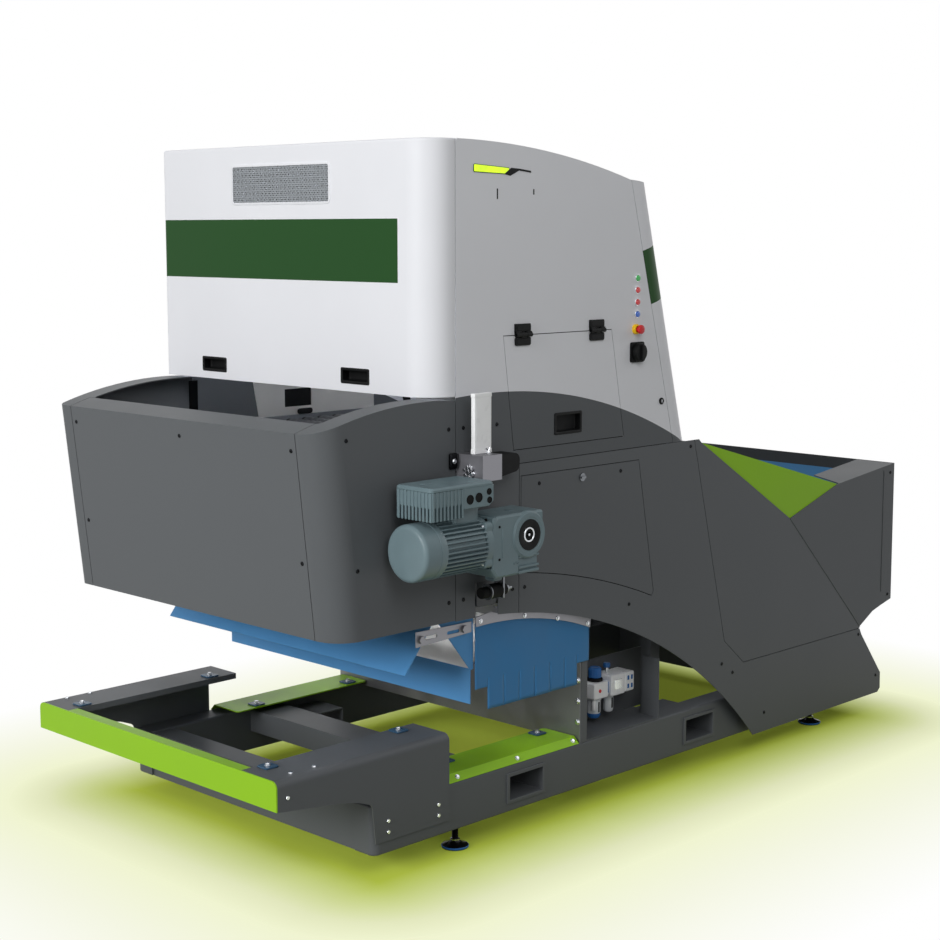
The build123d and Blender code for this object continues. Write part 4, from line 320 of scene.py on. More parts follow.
def cast_paint(name, colour):
    """Machine enamel over a sand casting: semi-gloss, with the sand's grain under the paint."""
    made, tree, where, shader = fresh(name, specular_ior_level=0.3, ior=1.5)
    mottle(tree, where, shader, colour, 0.07, 60.0, 0.36, 0.08)
    relief(tree, where, shader, 5.0, 0.3, 0.45, detail=4.0)
    return made


def brushed_steel(name, colour, along, roughness=0.34):
    """Stainless sheet ground with a belt: long fine scratches along one axis that spread the gloss."""
    made, tree, where, shader = fresh(name, metallic=1.0, anisotropic=0.4)
    mottle(tree, where, shader, colour, 0.06, 90.0, roughness, 0.07)
    stretch = tuple(0.03 if axis == along else 1.0 for axis in range(3))
    relief(tree, where, shader, 3.0, 0.05, 0.4, stretch)
    return made


def plated_steel(name, colour, roughness=0.24):
    """Zinc or nickel plate on turned steel: bright, with faint clouds in the plating."""
    made, tree, where, shader = fresh(name, metallic=1.0)
    mottle(tree, where, shader, colour, 0.08, 9.0, roughness, 0.08)
    relief(tree, where, shader, 2.0, 0.02, 0.25)
    return made


def moulded(name, colour, roughness=0.5, grain_mm=2.5, **sockets):
    """Moulded plastic or rubber: an even tone with the mould's spark-eroded grain, drawn coarse to show."""
    made, tree, where, shader = fresh(name, **{"ior": 1.5, "specular_ior_level": 0.3, **sockets})
    mottle(tree, where, shader, colour, 0.05, 35.0, roughness, 0.07)
    relief(tree, where, shader, grain_mm, 0.08, 0.35)
    return made


def sheet_plastic(name, colour):
    """Extruded polyethylene or PVC sheet: matt, scuffed in streaks by the crops that slide on it."""
    made, tree, where, shader = fresh(name, ior=1.5, specular_ior_level=0.2)
    cloud = mottle(tree, where, shader, colour, 0.08, 160.0, 0.46, 0.1)
    relief(tree, where, shader, 14.0, 0.2, 0.3, (0.5, 0.5, 0.12))
    cloud.inputs["Distortion"].default_value = 0.6
    return made


def lit_lens(name, colour, strength):
    """Frosted acrylic over light-emitting diodes: a glow that is a little uneven along the row."""
    made, tree, where, shader = fresh(name, ior=1.49, roughness=0.3, coat_weight=0.4,
                                      emission_strength=strength)
    cloud = node(tree, "ShaderNodeTexNoise", {"Vector": where, "Scale": 1000 / 28.0, "Detail": 1.0})
    dim = [part * 0.55 for part in colour] + [1]
    glow = node(tree, "ShaderNodeMix", {"Factor": cloud.outputs["Fac"], 6: dim, 7: [*colour, 1]}, data_type="RGBA")
    tree.links.new(glow.outputs[2], shader.inputs["Emission Color"])
    tree.links.new(glow.outputs[2], shader.inputs["Base Color"])
    return made


def within(tree, value, low, high):
    """1 where a coordinate lies between two machine places, else 0."""
    return node(tree, "ShaderNodeMath", {0: value, 1: (low + high) / 2, 2: (high - low) / 2},
                operation="COMPARE").outputs["Value"]


def strip(tree, where, near, far, low, high, lean=0.0):
    """1 between two places across the machine and two heights, the heights rising by lean along it."""
    parts = node(tree, "ShaderNodeSeparateXYZ", {"Vector": where})
    lower, upper = place((0, near, low)), place((0, far, high))
    level = node(tree, "ShaderNodeMath", {0: parts.outputs["X"], 1: -lean, 2: parts.outputs["Z"]},
                 operation="MULTIPLY_ADD").outputs["Value"]
    tall = within(tree, level, lower[2] - lean * lower[0], upper[2] - lean * upper[0])
    wide = within(tree, parts.outputs["Y"], lower[1], upper[1])
    return node(tree, "ShaderNodeMath", {0: tall, 1: wide}, operation="MULTIPLY").outputs["Value"]


def front_stripe(tree, where):
    """Band across the front cover, from short of the near corner round to the far seam."""
    return strip(tree, where, STRIPE_NEAR_Y, 900, STRIPE_LOW, STRIPE_HIGH)


def rear_stripe(tree, where):
    """Band across the rear cover, from its near seam to short of the far corner, rising with the cover's lean."""
    return strip(tree, where, -900, -STRIPE_NEAR_Y, REAR_STRIPE_LOW, REAR_STRIPE_HIGH, REAR_STRIPE_LEAN)


def below_arc(tree, where):
    """1 inside the great circle that parts the dark lower casing from the white hood."""
    parts = node(tree, "ShaderNodeSeparateXYZ", {"Vector": where})
    flat = node(tree, "ShaderNodeCombineXYZ", {"X": parts.outputs["X"], "Z": parts.outputs["Z"]})
    middle = place((ARC_X, 0, ARC_Z))
    reach = node(tree, "ShaderNodeVectorMath", {0: flat.outputs["Vector"], 1: (middle[0], 0, middle[2])},
                 operation="DISTANCE")
    return node(tree, "ShaderNodeMath", {0: reach.outputs["Value"], 1: ARC_RADIUS * MM},
                operation="LESS_THAN").outputs["Value"]


def vent_painted_shade(tree, where):
    """The cover's bars behind the vent's screen, painted grey as the shade inside the vent that shows through the
    holes.
    """
    return strip(tree, where, VENT_NEAR_Y, VENT_FAR_Y, VENT_LOW, VENT_HIGH)


# Places of the bands, the two-tone arc and the vent's painted shade on the hood
STRIPE_NEAR_Y, STRIPE_LOW, STRIPE_HIGH = -590.0, 2011.0, 2226.0
REAR_STRIPE_LOW, REAR_STRIPE_HIGH, REAR_STRIPE_LEAN = 1664.5, 1879.1, 0.259
ARC_X, ARC_Z, ARC_RADIUS = 82.0, -732.0, 2364.0
VENT_NEAR_Y, VENT_FAR_Y, VENT_LOW, VENT_HIGH = -242.0, 298.0, 2285.0, 2417.0


def colour_property(label, hexa, text):
    """A colour that the user may change, given as sRGB hex."""
    return FloatVectorProperty(name=label, description=text, subtype="COLOR", size=3, min=0, max=1,
                               default=linear(hexa))


class GraderColours(bpy.types.PropertyGroup):
    """Colours of the machine's finishes."""

    white_coat: colour_property("White coat", "#e7e8ed", "Powder coat of the hood")
    grey_coat: colour_property("Grey coat", "#5c5f62", "Powder coat of the casing and base")
    green_coat: colour_property("Green coat", "#92c620", "Paint of the docking bar, covers and gussets")
    band_green: colour_property("Band", "#234a22", "Bare band on the front and rear covers")
    drive_coat: colour_property("Drive", "#6a7d83", "Enamel of the geared motor")
    chute_blue: colour_property("Chutes", "#5592c8", "Plastic of the chutes and the hopper liner")
    curtain_blue: colour_property("Curtain", "#3d7cb0", "Plastic of the slit curtain")
    lamp_green: colour_property("Status lamp", "#d3f404", "Glow of the status lamp")


# Finishes of one colour: name, maker, material, colour, further values and sockets
PLAIN_FINISHES = (
    ("stainless", brushed_steel, "stainless_sheet", "#85858a", (0, 0.5), {}),
    ("satin", brushed_steel, "satin_sheet", "#e4e2dd", (0, 0.46), {}),
    ("plate", plated_steel, "zinc_plate", "#c9ccd0", (), {}),
    ("turned", plated_steel, "turned_steel", "#74777b", (0.34,), {}),
    ("chain", plated_steel, "oiled_chain_steel", "#4b4943", (0.38,), {}),
    ("iron", cast_paint, "bearing_enamel", "#3c4043", (), {}),
    ("chrome", plated_steel, "nickel_ring", "#d6d8db", (0.14,), {}),
    ("black", moulded, "black_polyamide", "#0b0c0d", (0.58,), {"specular_ior_level": 0.12}),
    ("gloss", moulded, "glossy_polyamide", "#0b0c0d", (0.2,), {}),
    ("rubber", moulded, "black_rubber", "#0b0c0c", (0.66,), {"specular_ior_level": 0.1}),
    ("roller", moulded, "roller_rubber", "#2a2c2f", (0.6, 4.0), {}),
    ("screw", plated_steel, "black_oxide", "#1d1e20", (0.42,), {}),
    ("white_plastic", moulded, "white_polycarbonate", "#f7f8f9", (0.32,), {}),
    ("blue_plastic", moulded, "blue_polyamide", "#2b66a8", (0.42,), {}),
    ("pad", moulded, "blue_polyurethane", "#34536d", (0.3,), {}),
    ("lamp_rim", moulded, "lamp_gasket", "#2f5a10", (0.4,), {}),
    ("tube", lit_lens, "inspection_lamp", "#f4f7ff", (14.0,), {}),
    ("start", lit_lens, "start_lens", "#2fae4f", (0.25,), {}),
    ("halt", lit_lens, "halt_lens", "#cf2f35", (0.2,), {}),
    ("reset", lit_lens, "reset_lens", "#2b63c4", (0.2,), {}),
    ("yellow", moulded, "yellow_polycarbonate", "#f5c518", (0.35,), {}),
    ("red", moulded, "red_polycarbonate", "#d2232a", (0.3,), {}),
    ("bowl", moulded, "clear_polycarbonate", "#dfe3e6", (0.2,), {}),
    ("screen", plated_steel, "perforated_steel", "#9a9ea2", (0.44,), {}),
    ("finger", moulded, "finger_polyurethane", "#33373a", (0.5,), {}),
)


def finishes():
    """Every finish of the machine by name, made once from the colours in the sidebar."""
    made = {}
    tone = bpy.context.scene.grader_colours
    grey, white, band = tuple(tone.grey_coat), tuple(tone.white_coat), tuple(tone.band_green)
    made["grey"] = powder_coat("powder_coat_grey", grey, roughness=0.42)
    made["white"] = powder_coat("powder_coat_white", white, shine=0.1)
    # On the front cover the vent's zone is painted shade, seen through the screen's holes
    made["front"] = powder_coat("powder_coat_front", white, [(front_stripe, band), (vent_painted_shade, linear("#7d8288"))],
                                shine=0.1)
    made["rear"] = powder_coat("powder_coat_rear", white, [(rear_stripe, band), (below_arc, grey)], shine=0.1)
    made["side"] = powder_coat("powder_coat_side", white, [(below_arc, grey)], shine=0.1)
    made["green"] = powder_coat("powder_coat_green", tuple(tone.green_coat), roughness=0.35)
    made["drive"] = cast_paint("machine_enamel", tuple(tone.drive_coat))
    made["chute"] = sheet_plastic("polyethylene_sheet", tuple(tone.chute_blue))
    made["curtain"] = sheet_plastic("curtain_sheet", tuple(tone.curtain_blue))
    made["lamp"] = lit_lens("status_lamp", tuple(tone.lamp_green), 1.0)
    for key, maker, name, hexa, values, sockets in PLAIN_FINISHES:
        made[key] = maker(name, linear(hexa), *values, **sockets)
    return made


NODE_FINISHES = {
    "grey": "base_beams cross_beams dock_plates valve_bay inner_frame tub_end tub_sides lower_panels "
            "hopper_sides hopper_end",
    "green": "dock_bar guide_covers gussets",
    "front": "hood_front",
    "rear": "hood_rear",
    "side": "hood_sides side_door",
    "white": "hood_roof",
    "black": "black_fittings frame_hinges",
    "screw": "seam_straps",
    "chute": "chute_flap chute_lower hopper_liner",
    "turned": "motor_rotor head_shaft idler_shaft tail_shaft access_latch",
    "iron": "bearing_blocks",
    "chain": "chains",
    "stainless": "steel_fittings",
    "satin": "product_guides",
    "finger": "reject_fingers",
}
FINISH = {}


class GRADER_OT_finishes(bpy.types.Operator):
    """Make every finish and give each solid its own"""

    bl_idname = "grader.finishes"
    bl_label = "Finishes"

    def execute(self, context):
        FINISH.update(finishes())
        for finish, names in NODE_FINISHES.items():
            for name in names.split():
                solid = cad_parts[name]
                for slot in solid.material_slots:
                    slot.material = FINISH[finish]
        return {"FINISHED"}


# Machine layout
SIDE = 740.0
DRIVE_Y, DRIVE_Z = -860.0, 1150.0
COVER_REAR, SHIELD_FRONT, MOTOR_REAR = -340.0, -150.0, -115.0
MOTOR_RADIUS = 96.0
GEAR_X, GEAR_Z = 62.0, 1162.0
TO_NEAR = (0, -1, 0)
TO_FRONT = (-1, 0, 0)
ALONG_X, ALONG_Y, ALONG_Z = (1, 0, 0), (0, 1, 0), (0, 0, 1)


def islands(name):
    """Points of each separate solid in a node, in machine millimetres: shared points spread the lowest label."""
    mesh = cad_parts[name].data
    points = np.zeros(len(mesh.vertices) * 3)
    mesh.vertices.foreach_get("co", points)
    points = (points.reshape(-1, 3) - np.array([FEET_X, CENTRE_Y, 0.0])) / MM
    same = np.unique(np.round(points, 3), axis=0, return_inverse=True)[1].reshape(-1)
    edges = np.zeros(len(mesh.edges) * 2, dtype=np.int64)
    mesh.edges.foreach_get("vertices", edges)
    first, last = same[edges].reshape(-1, 2).T
    label = np.arange(same.max() + 1)
    while True:
        lower = label.copy()
        lowest = np.minimum(label[first], label[last])
        np.minimum.at(lower, first, lowest)
        np.minimum.at(lower, last, lowest)
        lower = lower[lower]
        if (lower == label).all():
            break
        label = lower
    owner = label[same]
    return [points[owner == one] for one in np.unique(owner)]


def seat(points):
    """Foot, outward axis and height of a flat round solid: its axis is the direction of least spread."""
    middle = (points.min(axis=0) + points.max(axis=0)) / 2
    axis = np.linalg.svd(points - points.mean(axis=0), full_matrices=False)[2][2]
    outward = middle - (900.0, 0.0, 350.0)
    axis = axis * np.sign(axis @ (outward * (1, 1, 0.4)))
    reach = (points - middle) @ axis
    return middle + axis * reach.min(), axis, reach.max() - reach.min()


def hex_bolt(form, foot, axis, radius, height, finish=0, washer=0.0):
    """Hexagon head over a washer: two turned profiles, the head's with six sides and a chamfered top."""
    rim = radius if not washer else washer
    form.lathe([(0, 0), (rim, 0), (rim, 1.4), (rim - 0.6, 2.0), (0, 2.0)], foot, axis, 20, finish)
    head = [(0, 1.9), (radius * 0.98, 1.9), (radius, 2.2), (radius, height - 1.6), (radius * 0.86, height),
            (0, height)]
    form.lathe(head, foot, axis, 6, finish)


def dome_screw(form, foot, axis, radius, height, finish=0):
    """Button head with a socket: a domed profile turned round, dropping into a hole at the middle."""
    share = np.linspace(0, 1, 6)
    dome = np.stack([radius * (1 - 0.52 * share ** 1.6), height * (0.3 + 0.7 * np.sin(share * np.pi / 2))], axis=1)
    hole = [(radius * 0.44, height * 0.96), (radius * 0.4, height * 0.35), (0, height * 0.35)]
    form.lathe(np.concatenate([[(radius, 0)], dome, hole]), foot, axis, 16, finish)


class GRADER_OT_fasteners(bpy.types.Operator):
    """Button-head screws on the casing, and bright bolts, dark stems and nuts on the base"""

    bl_idname = "grader.fasteners"
    bl_label = "Fasteners"

    BULKHEAD_BOLTS = ((620, -676, 340), (620, -676, 421), (620, -676, 502))
    STRIP_BOLTS = ((69, -700, 823), (297, -700, 808), (476, -700, 769), (645, -700, 723))

    def execute(self, context):
        screws = Form()
        for points in islands("panel_screws"):
            foot, axis, height = seat(points)
            dome_screw(screws, foot, axis, 7.5, height)
        screws.piece("casing_screws", "machine", [FINISH["screw"]], ["panel_screws"])
        bolts = Form()
        for points in islands("base_bolts"):
            low, high = points.min(axis=0), points.max(axis=0)
            middle, size = (low + high) / 2, high - low
            if size[2] > 40:
                self.stem(bolts, middle, low[2], high[2], size[0] / 2)
            elif size[0] > 40:
                hex_bolt(bolts, (middle[0], middle[1], low[2]), ALONG_Z, size[0] / 2, size[2], 1)
            else:
                foot, axis, height = seat(points)
                hex_bolt(bolts, foot, axis, 7.6, height, washer=9.0)
        for spot in self.BULKHEAD_BOLTS:
            hex_bolt(bolts, spot, TO_FRONT, 9.5, 8, washer=12)
        for spot in self.STRIP_BOLTS:
            hex_bolt(bolts, spot, TO_NEAR, 6.5, 5, washer=9)
        bolts.piece("base_fasteners", "machine", [FINISH["plate"], FINISH["screw"]], ["base_bolts"])
        return {"FINISHED"}

    def stem(self, form, middle, low, high, radius):
        """Threaded stem: the radius swings between root and crest once a pitch."""
        height = np.linspace(low, high, 61)
        thread = radius - 0.9 - 0.9 * np.cos(2 * np.pi * np.arange(61) / 4)
        profile = np.stack([thread, height - low], axis=1)
        profile = np.concatenate([[(0, 0)], profile, [(0, high - low)]])
        form.lathe(profile, (middle[0], middle[1], low), ALONG_Z, 20, 1)


class GRADER_OT_pockets(bpy.types.Operator):
    """Fork pockets: long sleeves through the beams with a raised rim outside"""

    bl_idname = "grader.pockets"
    bl_label = "Fork pockets"

    INNER_END = -430.0

    def execute(self, context):
        sleeves = Form()
        for points in islands("fork_pockets"):
            low, high = points.min(axis=0), points.max(axis=0)
            if low[1] > 0:
                continue
            wide, tall = high[0] - low[0], high[2] - low[2]
            beam = low[1] + 6
            rings = [(0, beam), (0, low[1] + 1), (1, low[1]), (12, low[1]), (13, low[1] + 1), (13, self.INNER_END),
                     (8, self.INNER_END), (8, beam)]
            grid = [np.insert(rectangle(wide - 2 * away, tall - 2 * away, 3), 1, y, axis=1)
                    + ((low[0] + high[0]) / 2, 0, (low[2] + high[2]) / 2) for away, y in rings]
            sleeves.grid(np.stack(grid), wrap_u=True)
        sleeves.mirrored()
        sleeves.piece("pocket_sleeves", "machine", [FINISH["grey"]], ["fork_pockets"])
        return {"FINISHED"}


class GRADER_OT_feet(bpy.types.Operator):
    """Levelling feet with a black sole, a blue rim and a bright cup"""

    bl_idname = "grader.feet"
    bl_label = "Feet and pads"

    def execute(self, context):
        feet = Form()
        for points in islands("foot_pads"):
            x, y = (points.min(axis=0) + points.max(axis=0))[:2] / 2
            spot = (x, y, 0)
            feet.lathe([(0, 0), (47, 0), (49, 1.5), (49.6, 3.5)], spot, ALONG_Z, 40, 0)
            feet.lathe([(49.6, 3.5), (50, 5), (50, 8.5), (48.5, 10)], spot, ALONG_Z, 40, 1)
            feet.lathe([(48.5, 10), (44, 11.5), (36, 14), (27, 18), (20, 23), (17, 27)], spot, ALONG_Z, 40, 0)
            feet.lathe([(17, 27), (17.5, 28.5), (17.5, 31), (16, 32), (0, 32)], spot, ALONG_Z, 40, 2)
        feet.piece("levelling_feet", "machine", [FINISH["gloss"], FINISH["blue_plastic"], FINISH["plate"]],
                   ["foot_pads"])
        pads = Form()
        for points in islands("guide_pads"):
            low, high = points.min(axis=0), points.max(axis=0)
            spot = ((low[0] + high[0]) / 2, (low[1] + high[1]) / 2, low[2])
            tall = high[2] - low[2]
            pads.prism(rectangle(56, 56, 10), spot, ALONG_X, ALONG_Y, tall - 3, 2)
            hex_bolt(pads, (spot[0], spot[1], high[2] - 3.5), ALONG_Z, 7.5, 5, 1, 11)
        pads.piece("docking_pads", "machine", [FINISH["pad"], FINISH["plate"]], ["guide_pads"])
        return {"FINISHED"}


def star(root, tip, count, share):
    """Outline with fins: each fin rises from the root circle to the tip circle over its share of the pitch."""
    turn = np.arange(count)[:, None] * 2 * np.pi / count
    step = np.pi / count * np.array([-share * 1.35, -share, share, share * 1.35])
    reach = np.array([root, tip, tip, root])
    angle = turn + step
    return np.stack([reach * np.cos(angle), reach * np.sin(angle)], axis=2).reshape(-1, 2)


class GRADER_OT_drive(bpy.types.Operator):
    """Geared motor with its finned stator, fan cover, hollow-shaft gear case and frequency inverter"""

    bl_idname = "grader.drive"
    bl_label = "Drive"

    def execute(self, context):
        self.motor(context.scene.grader_sizes)
        self.gear_case()
        self.output_shaft()
        self.torque_support()
        self.inverter(context.scene.grader_sizes)
        return {"FINISHED"}

    def motor(self, sizes):
        """Turned fan cover and a lobed end shield on one axis with a finned tube between them."""
        motor = Form()
        heart = (0, DRIVE_Y, DRIVE_Z)
        r = MOTOR_RADIUS
        cover = [(0, -440), (78, -440), (84, -439.4), (89, -437.4), (92.8, -434), (95.2, -430), (r, -425),
                 (r, -372), (r - 1.2, -370.5), (r - 1.2, -368.5), (r, -367), (r, -343), (r - 1, COVER_REAR),
                 (87, COVER_REAR), (85, -352)]
        motor.lathe(cover, heart, ALONG_X, 96)
        fins = star(82, r - 0.5, sizes.fin_count, 0.31)
        motor.prism(fins, (-352, DRIVE_Y, DRIVE_Z), ALONG_Y, ALONG_Z, SHIELD_FRONT + 352)
        motor.prism(self.shield(), (SHIELD_FRONT, DRIVE_Y, DRIVE_Z), ALONG_Y, ALONG_Z, MOTOR_REAR - SHIELD_FRONT, 4)
        for turn in np.radians([45, 135, 225, 315]):
            y, z = DRIVE_Y + 87.5 * np.cos(turn), DRIVE_Z + 87.5 * np.sin(turn)
            hex_bolt(motor, (SHIELD_FRONT, y, z), TO_FRONT, 6.0, 6.0, 1, 8.5)
            y, z = DRIVE_Y + (r - 1.2) * np.cos(turn), DRIVE_Z + (r - 1.2) * np.sin(turn)
            dome_screw(motor, (-348, y, z), (0, np.cos(turn), np.sin(turn)), 4.2, 1.2, 1)
        neck = [(0, 1222), (0, 1268), (4, 1282), (12, 1302)]
        rings = [np.concatenate([rectangle(120 + 2 * away, 90 + 2 * away, 16 + away, (-205, DRIVE_Y)),
                                 np.full((20, 1), z)], axis=1) for away, z in neck]
        motor.grid(np.stack(rings))
        motor.cap(rings[0])
        motor.cap(rings[-1])
        motor.piece("drive_motor", "machine", [FINISH["drive"], FINISH["plate"]], ["motor"])

    def shield(self):
        """Outline of a disc with four lobes: at each turn the farther of the disc and the lobe's far edge."""
        turn = np.linspace(0, 2 * np.pi, 144, endpoint=False)
        away = np.mod(turn, np.pi / 2) - np.pi / 4
        chord = 17.0 ** 2 - (87.5 * np.sin(away)) ** 2
        lobe = 87.5 * np.cos(away) + np.sqrt(np.maximum(chord, 0))
        reach = np.where(chord > 0, np.maximum(lobe, 89.0), 89.0)
        return np.stack([reach * np.cos(turn), reach * np.sin(turn)], axis=1)

    def gear_case(self):
        """Cast housing with a stepped foot, a ribbed recess and a turned cover round the hollow shaft."""
        case = Form()
        whole = rounded([(-115, 1060), (-90, 1030), (120, 1030), (120, 1100), (138, 1140), (138, 1240), (-90, 1240),
                         (-115, 1210)], 9)
        front = rounded([(-115, 1060), (-90, 1030), (18, 1030), (18, 1104), (120, 1104), (138, 1142), (138, 1240),
                         (-90, 1240), (-115, 1210)], 9)
        case.prism(whole, (0, -785, 0), ALONG_X, ALONG_Z, 140, 6)
        case.prism(front, (0, -915, 0), ALONG_X, ALONG_Z, 20, 7)
        for low, high in ((1030, 1042), (1048, 1057), (1084, 1093)):
            case.slab((14, -934, low), (118, -915, high), 2.5)
        case.slab((-115, -936, 1062), (-97, -784, 1238), 3)
        case.slab((-70, -937, 1096), (-62, -930, 1196), 2.5)
        spot = (GEAR_X, -935, GEAR_Z)
        case.lathe([(84, -12), (82, -2), (79, 2), (76.5, 3), (76, 5), (75, 6), (61, 6), (59.5, 4.5), (54, 4.5)], spot,
                   TO_NEAR, 72)
        case.lathe([(54, 4.5), (53, 5.8), (51, 6), (34, 6), (31, 4.5), (28, 4.5), (28, -140)], spot, TO_NEAR, 64, 1)
        for z in (1094, 1205):
            dome_screw(case, (-82, -935, z), TO_NEAR, 4.6, 3, 1)
        for x, z in ((-8, 1072), (8, 1072)):
            dome_screw(case, (x, -935, z), TO_NEAR, 4.5, 3, 0)
        for y in (-905, -860, -815):
            hex_bolt(case, (-114, y, 1229), TO_FRONT, 6, 5, 1)
        case.lathe([(0, 0), (17, 0), (17, 3), (15, 4.5), (0, 4.5)], (40, -862, 1237), ALONG_Z, 24)
        case.piece("gear_case_cover", "machine", [FINISH["drive"], FINISH["black"]], ["gear_case"])

    def output_shaft(self):
        """Bar with its chain wheel, and the gear case's hollow sleeve with a shallow open bore at the near end, whose
        black floor is painted shade for the depth of the bore.
        """
        shaft = Form()
        spot = (GEAR_X, 0, GEAR_Z)
        low, high = span("drive_shaft")
        shaft.lathe([(0, -high[1]), (20, -high[1]), (20, 588), (45, 588), (45, 600), (20, 600), (20, 744), (27, 744),
                     (27, -low[1] - 2), (25, -low[1]), (21, -low[1]), (20, -low[1] - 1)], spot, TO_NEAR, 48)
        # The bore is 2.4 mm deep; its black floor is painted shade standing in for the dark depth of the hollow shaft
        bore = -low[1] - 2.4
        shaft.lathe([(20, -low[1] - 1), (20, bore), (0, bore)], spot, TO_NEAR, 48, 1)
        shaft.lathe([(0, bore), (5, bore), (5, bore + 1.4), (0, bore + 1.4)], spot, TO_NEAR, 6)
        shaft.piece("output_shaft", "drive_axle", [FINISH["plate"], FINISH["rubber"]], ["drive_shaft"])

    def torque_support(self):
        """Rubber buffers on a bolt through an upright tab, under the gear case's foot."""
        stay = Form()
        spot = (0, -790, 949)
        stay.lathe([(0, -25), (18, -25), (20, -22), (20, 8), (0, 8)], spot, ALONG_X, 32, 0)
        stay.lathe([(0, 8), (28, 8), (28, 12), (0, 12)], spot, ALONG_X, 32, 1)
        stay.lathe([(0, 12), (26, 12), (26, 66), (0, 66)], spot, ALONG_X, 40, 0)
        stay.lathe([(0, 74), (20, 74), (20, 94), (18, 96), (0, 96)], spot, ALONG_X, 32, 0)
        stay.lathe([(0, 96), (17, 96), (17, 100), (0, 100)], spot, ALONG_X, 28, 1)
        stay.lathe([(0, 100), (12, 100), (12, 110), (10, 112), (0, 112)], spot, ALONG_X, 6, 1)
        stay.lathe([(0, 112), (6, 112), (6, 128), (5, 130), (0, 130)], spot, ALONG_X, 20, 1)
        stay.slab((66, -814, 922), (74, -766, 1031), 2, 1)
        stay.slab((20, -814, 986), (62, -766, 1031), 4, 2)
        stay.piece("torque_stay", "machine", [FINISH["rubber"], FINISH["turned"], FINISH["drive"]], ())

    def inverter(self, sizes):
        """Ribbed cast box: a core under a bevelled lid, upright ribs that end in comb fins, and blanked entries."""
        box = Form()
        box.slab((-404, -943, 1300), (-121, -777, 1356), 3)
        box.prism(rectangle(290, 172, 15, (-263, -860)), (0, 0, 1349), ALONG_X, ALONG_Y, 18, 6)
        pitch = sizes.rib_pitch * 1000
        rib = rounded([(-4.4, 1257), (4.4, 1257), (4.4, 1353), (-4.4, 1353)], [3, 3, 2, 2], 3)
        for y in np.arange(-938, -778, pitch):
            box.prism(rib + (y, 0), (-407.5, 0, 0), ALONG_Y, ALONG_Z, 14, 1.4)
        for x in np.arange(-397, -262, pitch):
            box.prism(rib + (x, 0), (0, -931, 0), ALONG_X, ALONG_Z, 14.5, 1.4)
            box.prism(rib + (x, 0), (0, -774.5, 0), ALONG_X, ALONG_Z, 14, 1.4)
        smooth = rounded([(-262, 1284), (-142, 1284), (-119, 1301), (-119, 1356), (-262, 1356)], 5)
        for y in (-930, -774.5):
            box.prism(smooth, (0, y, 0), ALONG_X, ALONG_Z, 15.5, 3)
        for x, z, radius in ((-232, 1315, 16), (-191, 1318, 16), (-143, 1333, 11), (-141, 1305, 11)):
            blank = [(radius, 0), (radius, 1.6), (radius - 0.8, 2.2), (radius - 2.4, 2.2), (radius - 3, 0.8),
                     (0, 0.8)]
            box.lathe(blank, (x, -945.5, z), TO_NEAR, 28, 1)
        for x, y in ((-330, -838), (-178, -905)):
            box.prism(rectangle(44, 20, 9, (x, y)), (0, 0, 1365), ALONG_X, ALONG_Y, 3, 1.4)
        box.piece("frequency_inverter", "machine", [FINISH["drive"], FINISH["rubber"]], ["inverter"])


class GRADER_OT_lubricator(bpy.types.Operator):
    """Slim white lubricator with its bracket bolts and wing nut"""

    bl_idname = "grader.lubricator"
    bl_label = "Lubricator"

    def execute(self, context):
        low, high = span("lubricator")
        x, y = (low[0] + high[0]) / 2, (low[1] + high[1]) / 2
        oiler = Form()
        wide, deep = high[0] - low[0], high[1] - low[1]
        for start, end, ease, bevel in ((0, 16, 0, 1.5), (15, 192, 1.5, 1), (191, 205, 0, 1.5)):
            oiler.prism(rectangle(wide - 2 * ease, deep - ease, 2.5), (x, y, low[2] + start), ALONG_X, ALONG_Y,
                        end - start, bevel)
        oiler.prism(rectangle(wide - 18, 120, 4, (x, low[2] + 100)), (0, low[1] + 2, 0), ALONG_X, ALONG_Z, 1.6, 0.6)
        oiler.piece("oil_dispenser", "machine", [FINISH["white_plastic"]], ["lubricator"])
        nuts = Form()
        ring = np.concatenate([[(0, 0)], circle(17, 6, 0.3)])
        for y, z in ring:
            hex_bolt(nuts, (-89, -802 + y, 1379 + z), TO_FRONT, 7, 12, washer=8.5)
        hex_bolt(nuts, (-10, -812, 1437), ALONG_Z, 8, 7, washer=10)
        for side in (-1, 1):
            nuts.prism(rounded([(-3, 0), (3, 0), (side * 3 + 11 * side, 14), (side * 3 + 3 * side, 16)][::side], 1.5),
                       (-10, -810, 1441), ALONG_X, ALONG_Z, 4, 1)
        nuts.slab((-130, -753, 1385), (-96, -741, 1440), 3, 1)
        hex_bolt(nuts, (-113, -753, 1412), TO_NEAR, 7, 6, 0, 9)
        nuts.piece("bracket_nuts", "machine", [FINISH["chrome"], FINISH["screw"]], ())
        return {"FINISHED"}


def arch_height(arc, x):
    """Height at x of the upper half of the circle through three points."""
    (x1, z1), (x2, z2), (x3, z3) = arc
    lean = np.array([[x2 - x1, z2 - z1], [x3 - x2, z3 - z2]])
    mid = np.array([x2**2 - x1**2 + z2**2 - z1**2, x3**2 - x2**2 + z3**2 - z2**2]) / 2
    cx, cz = np.linalg.solve(lean, mid)
    return cz + np.sqrt((x1 - cx) ** 2 + (z1 - cz) ** 2 - (x - cx) ** 2)


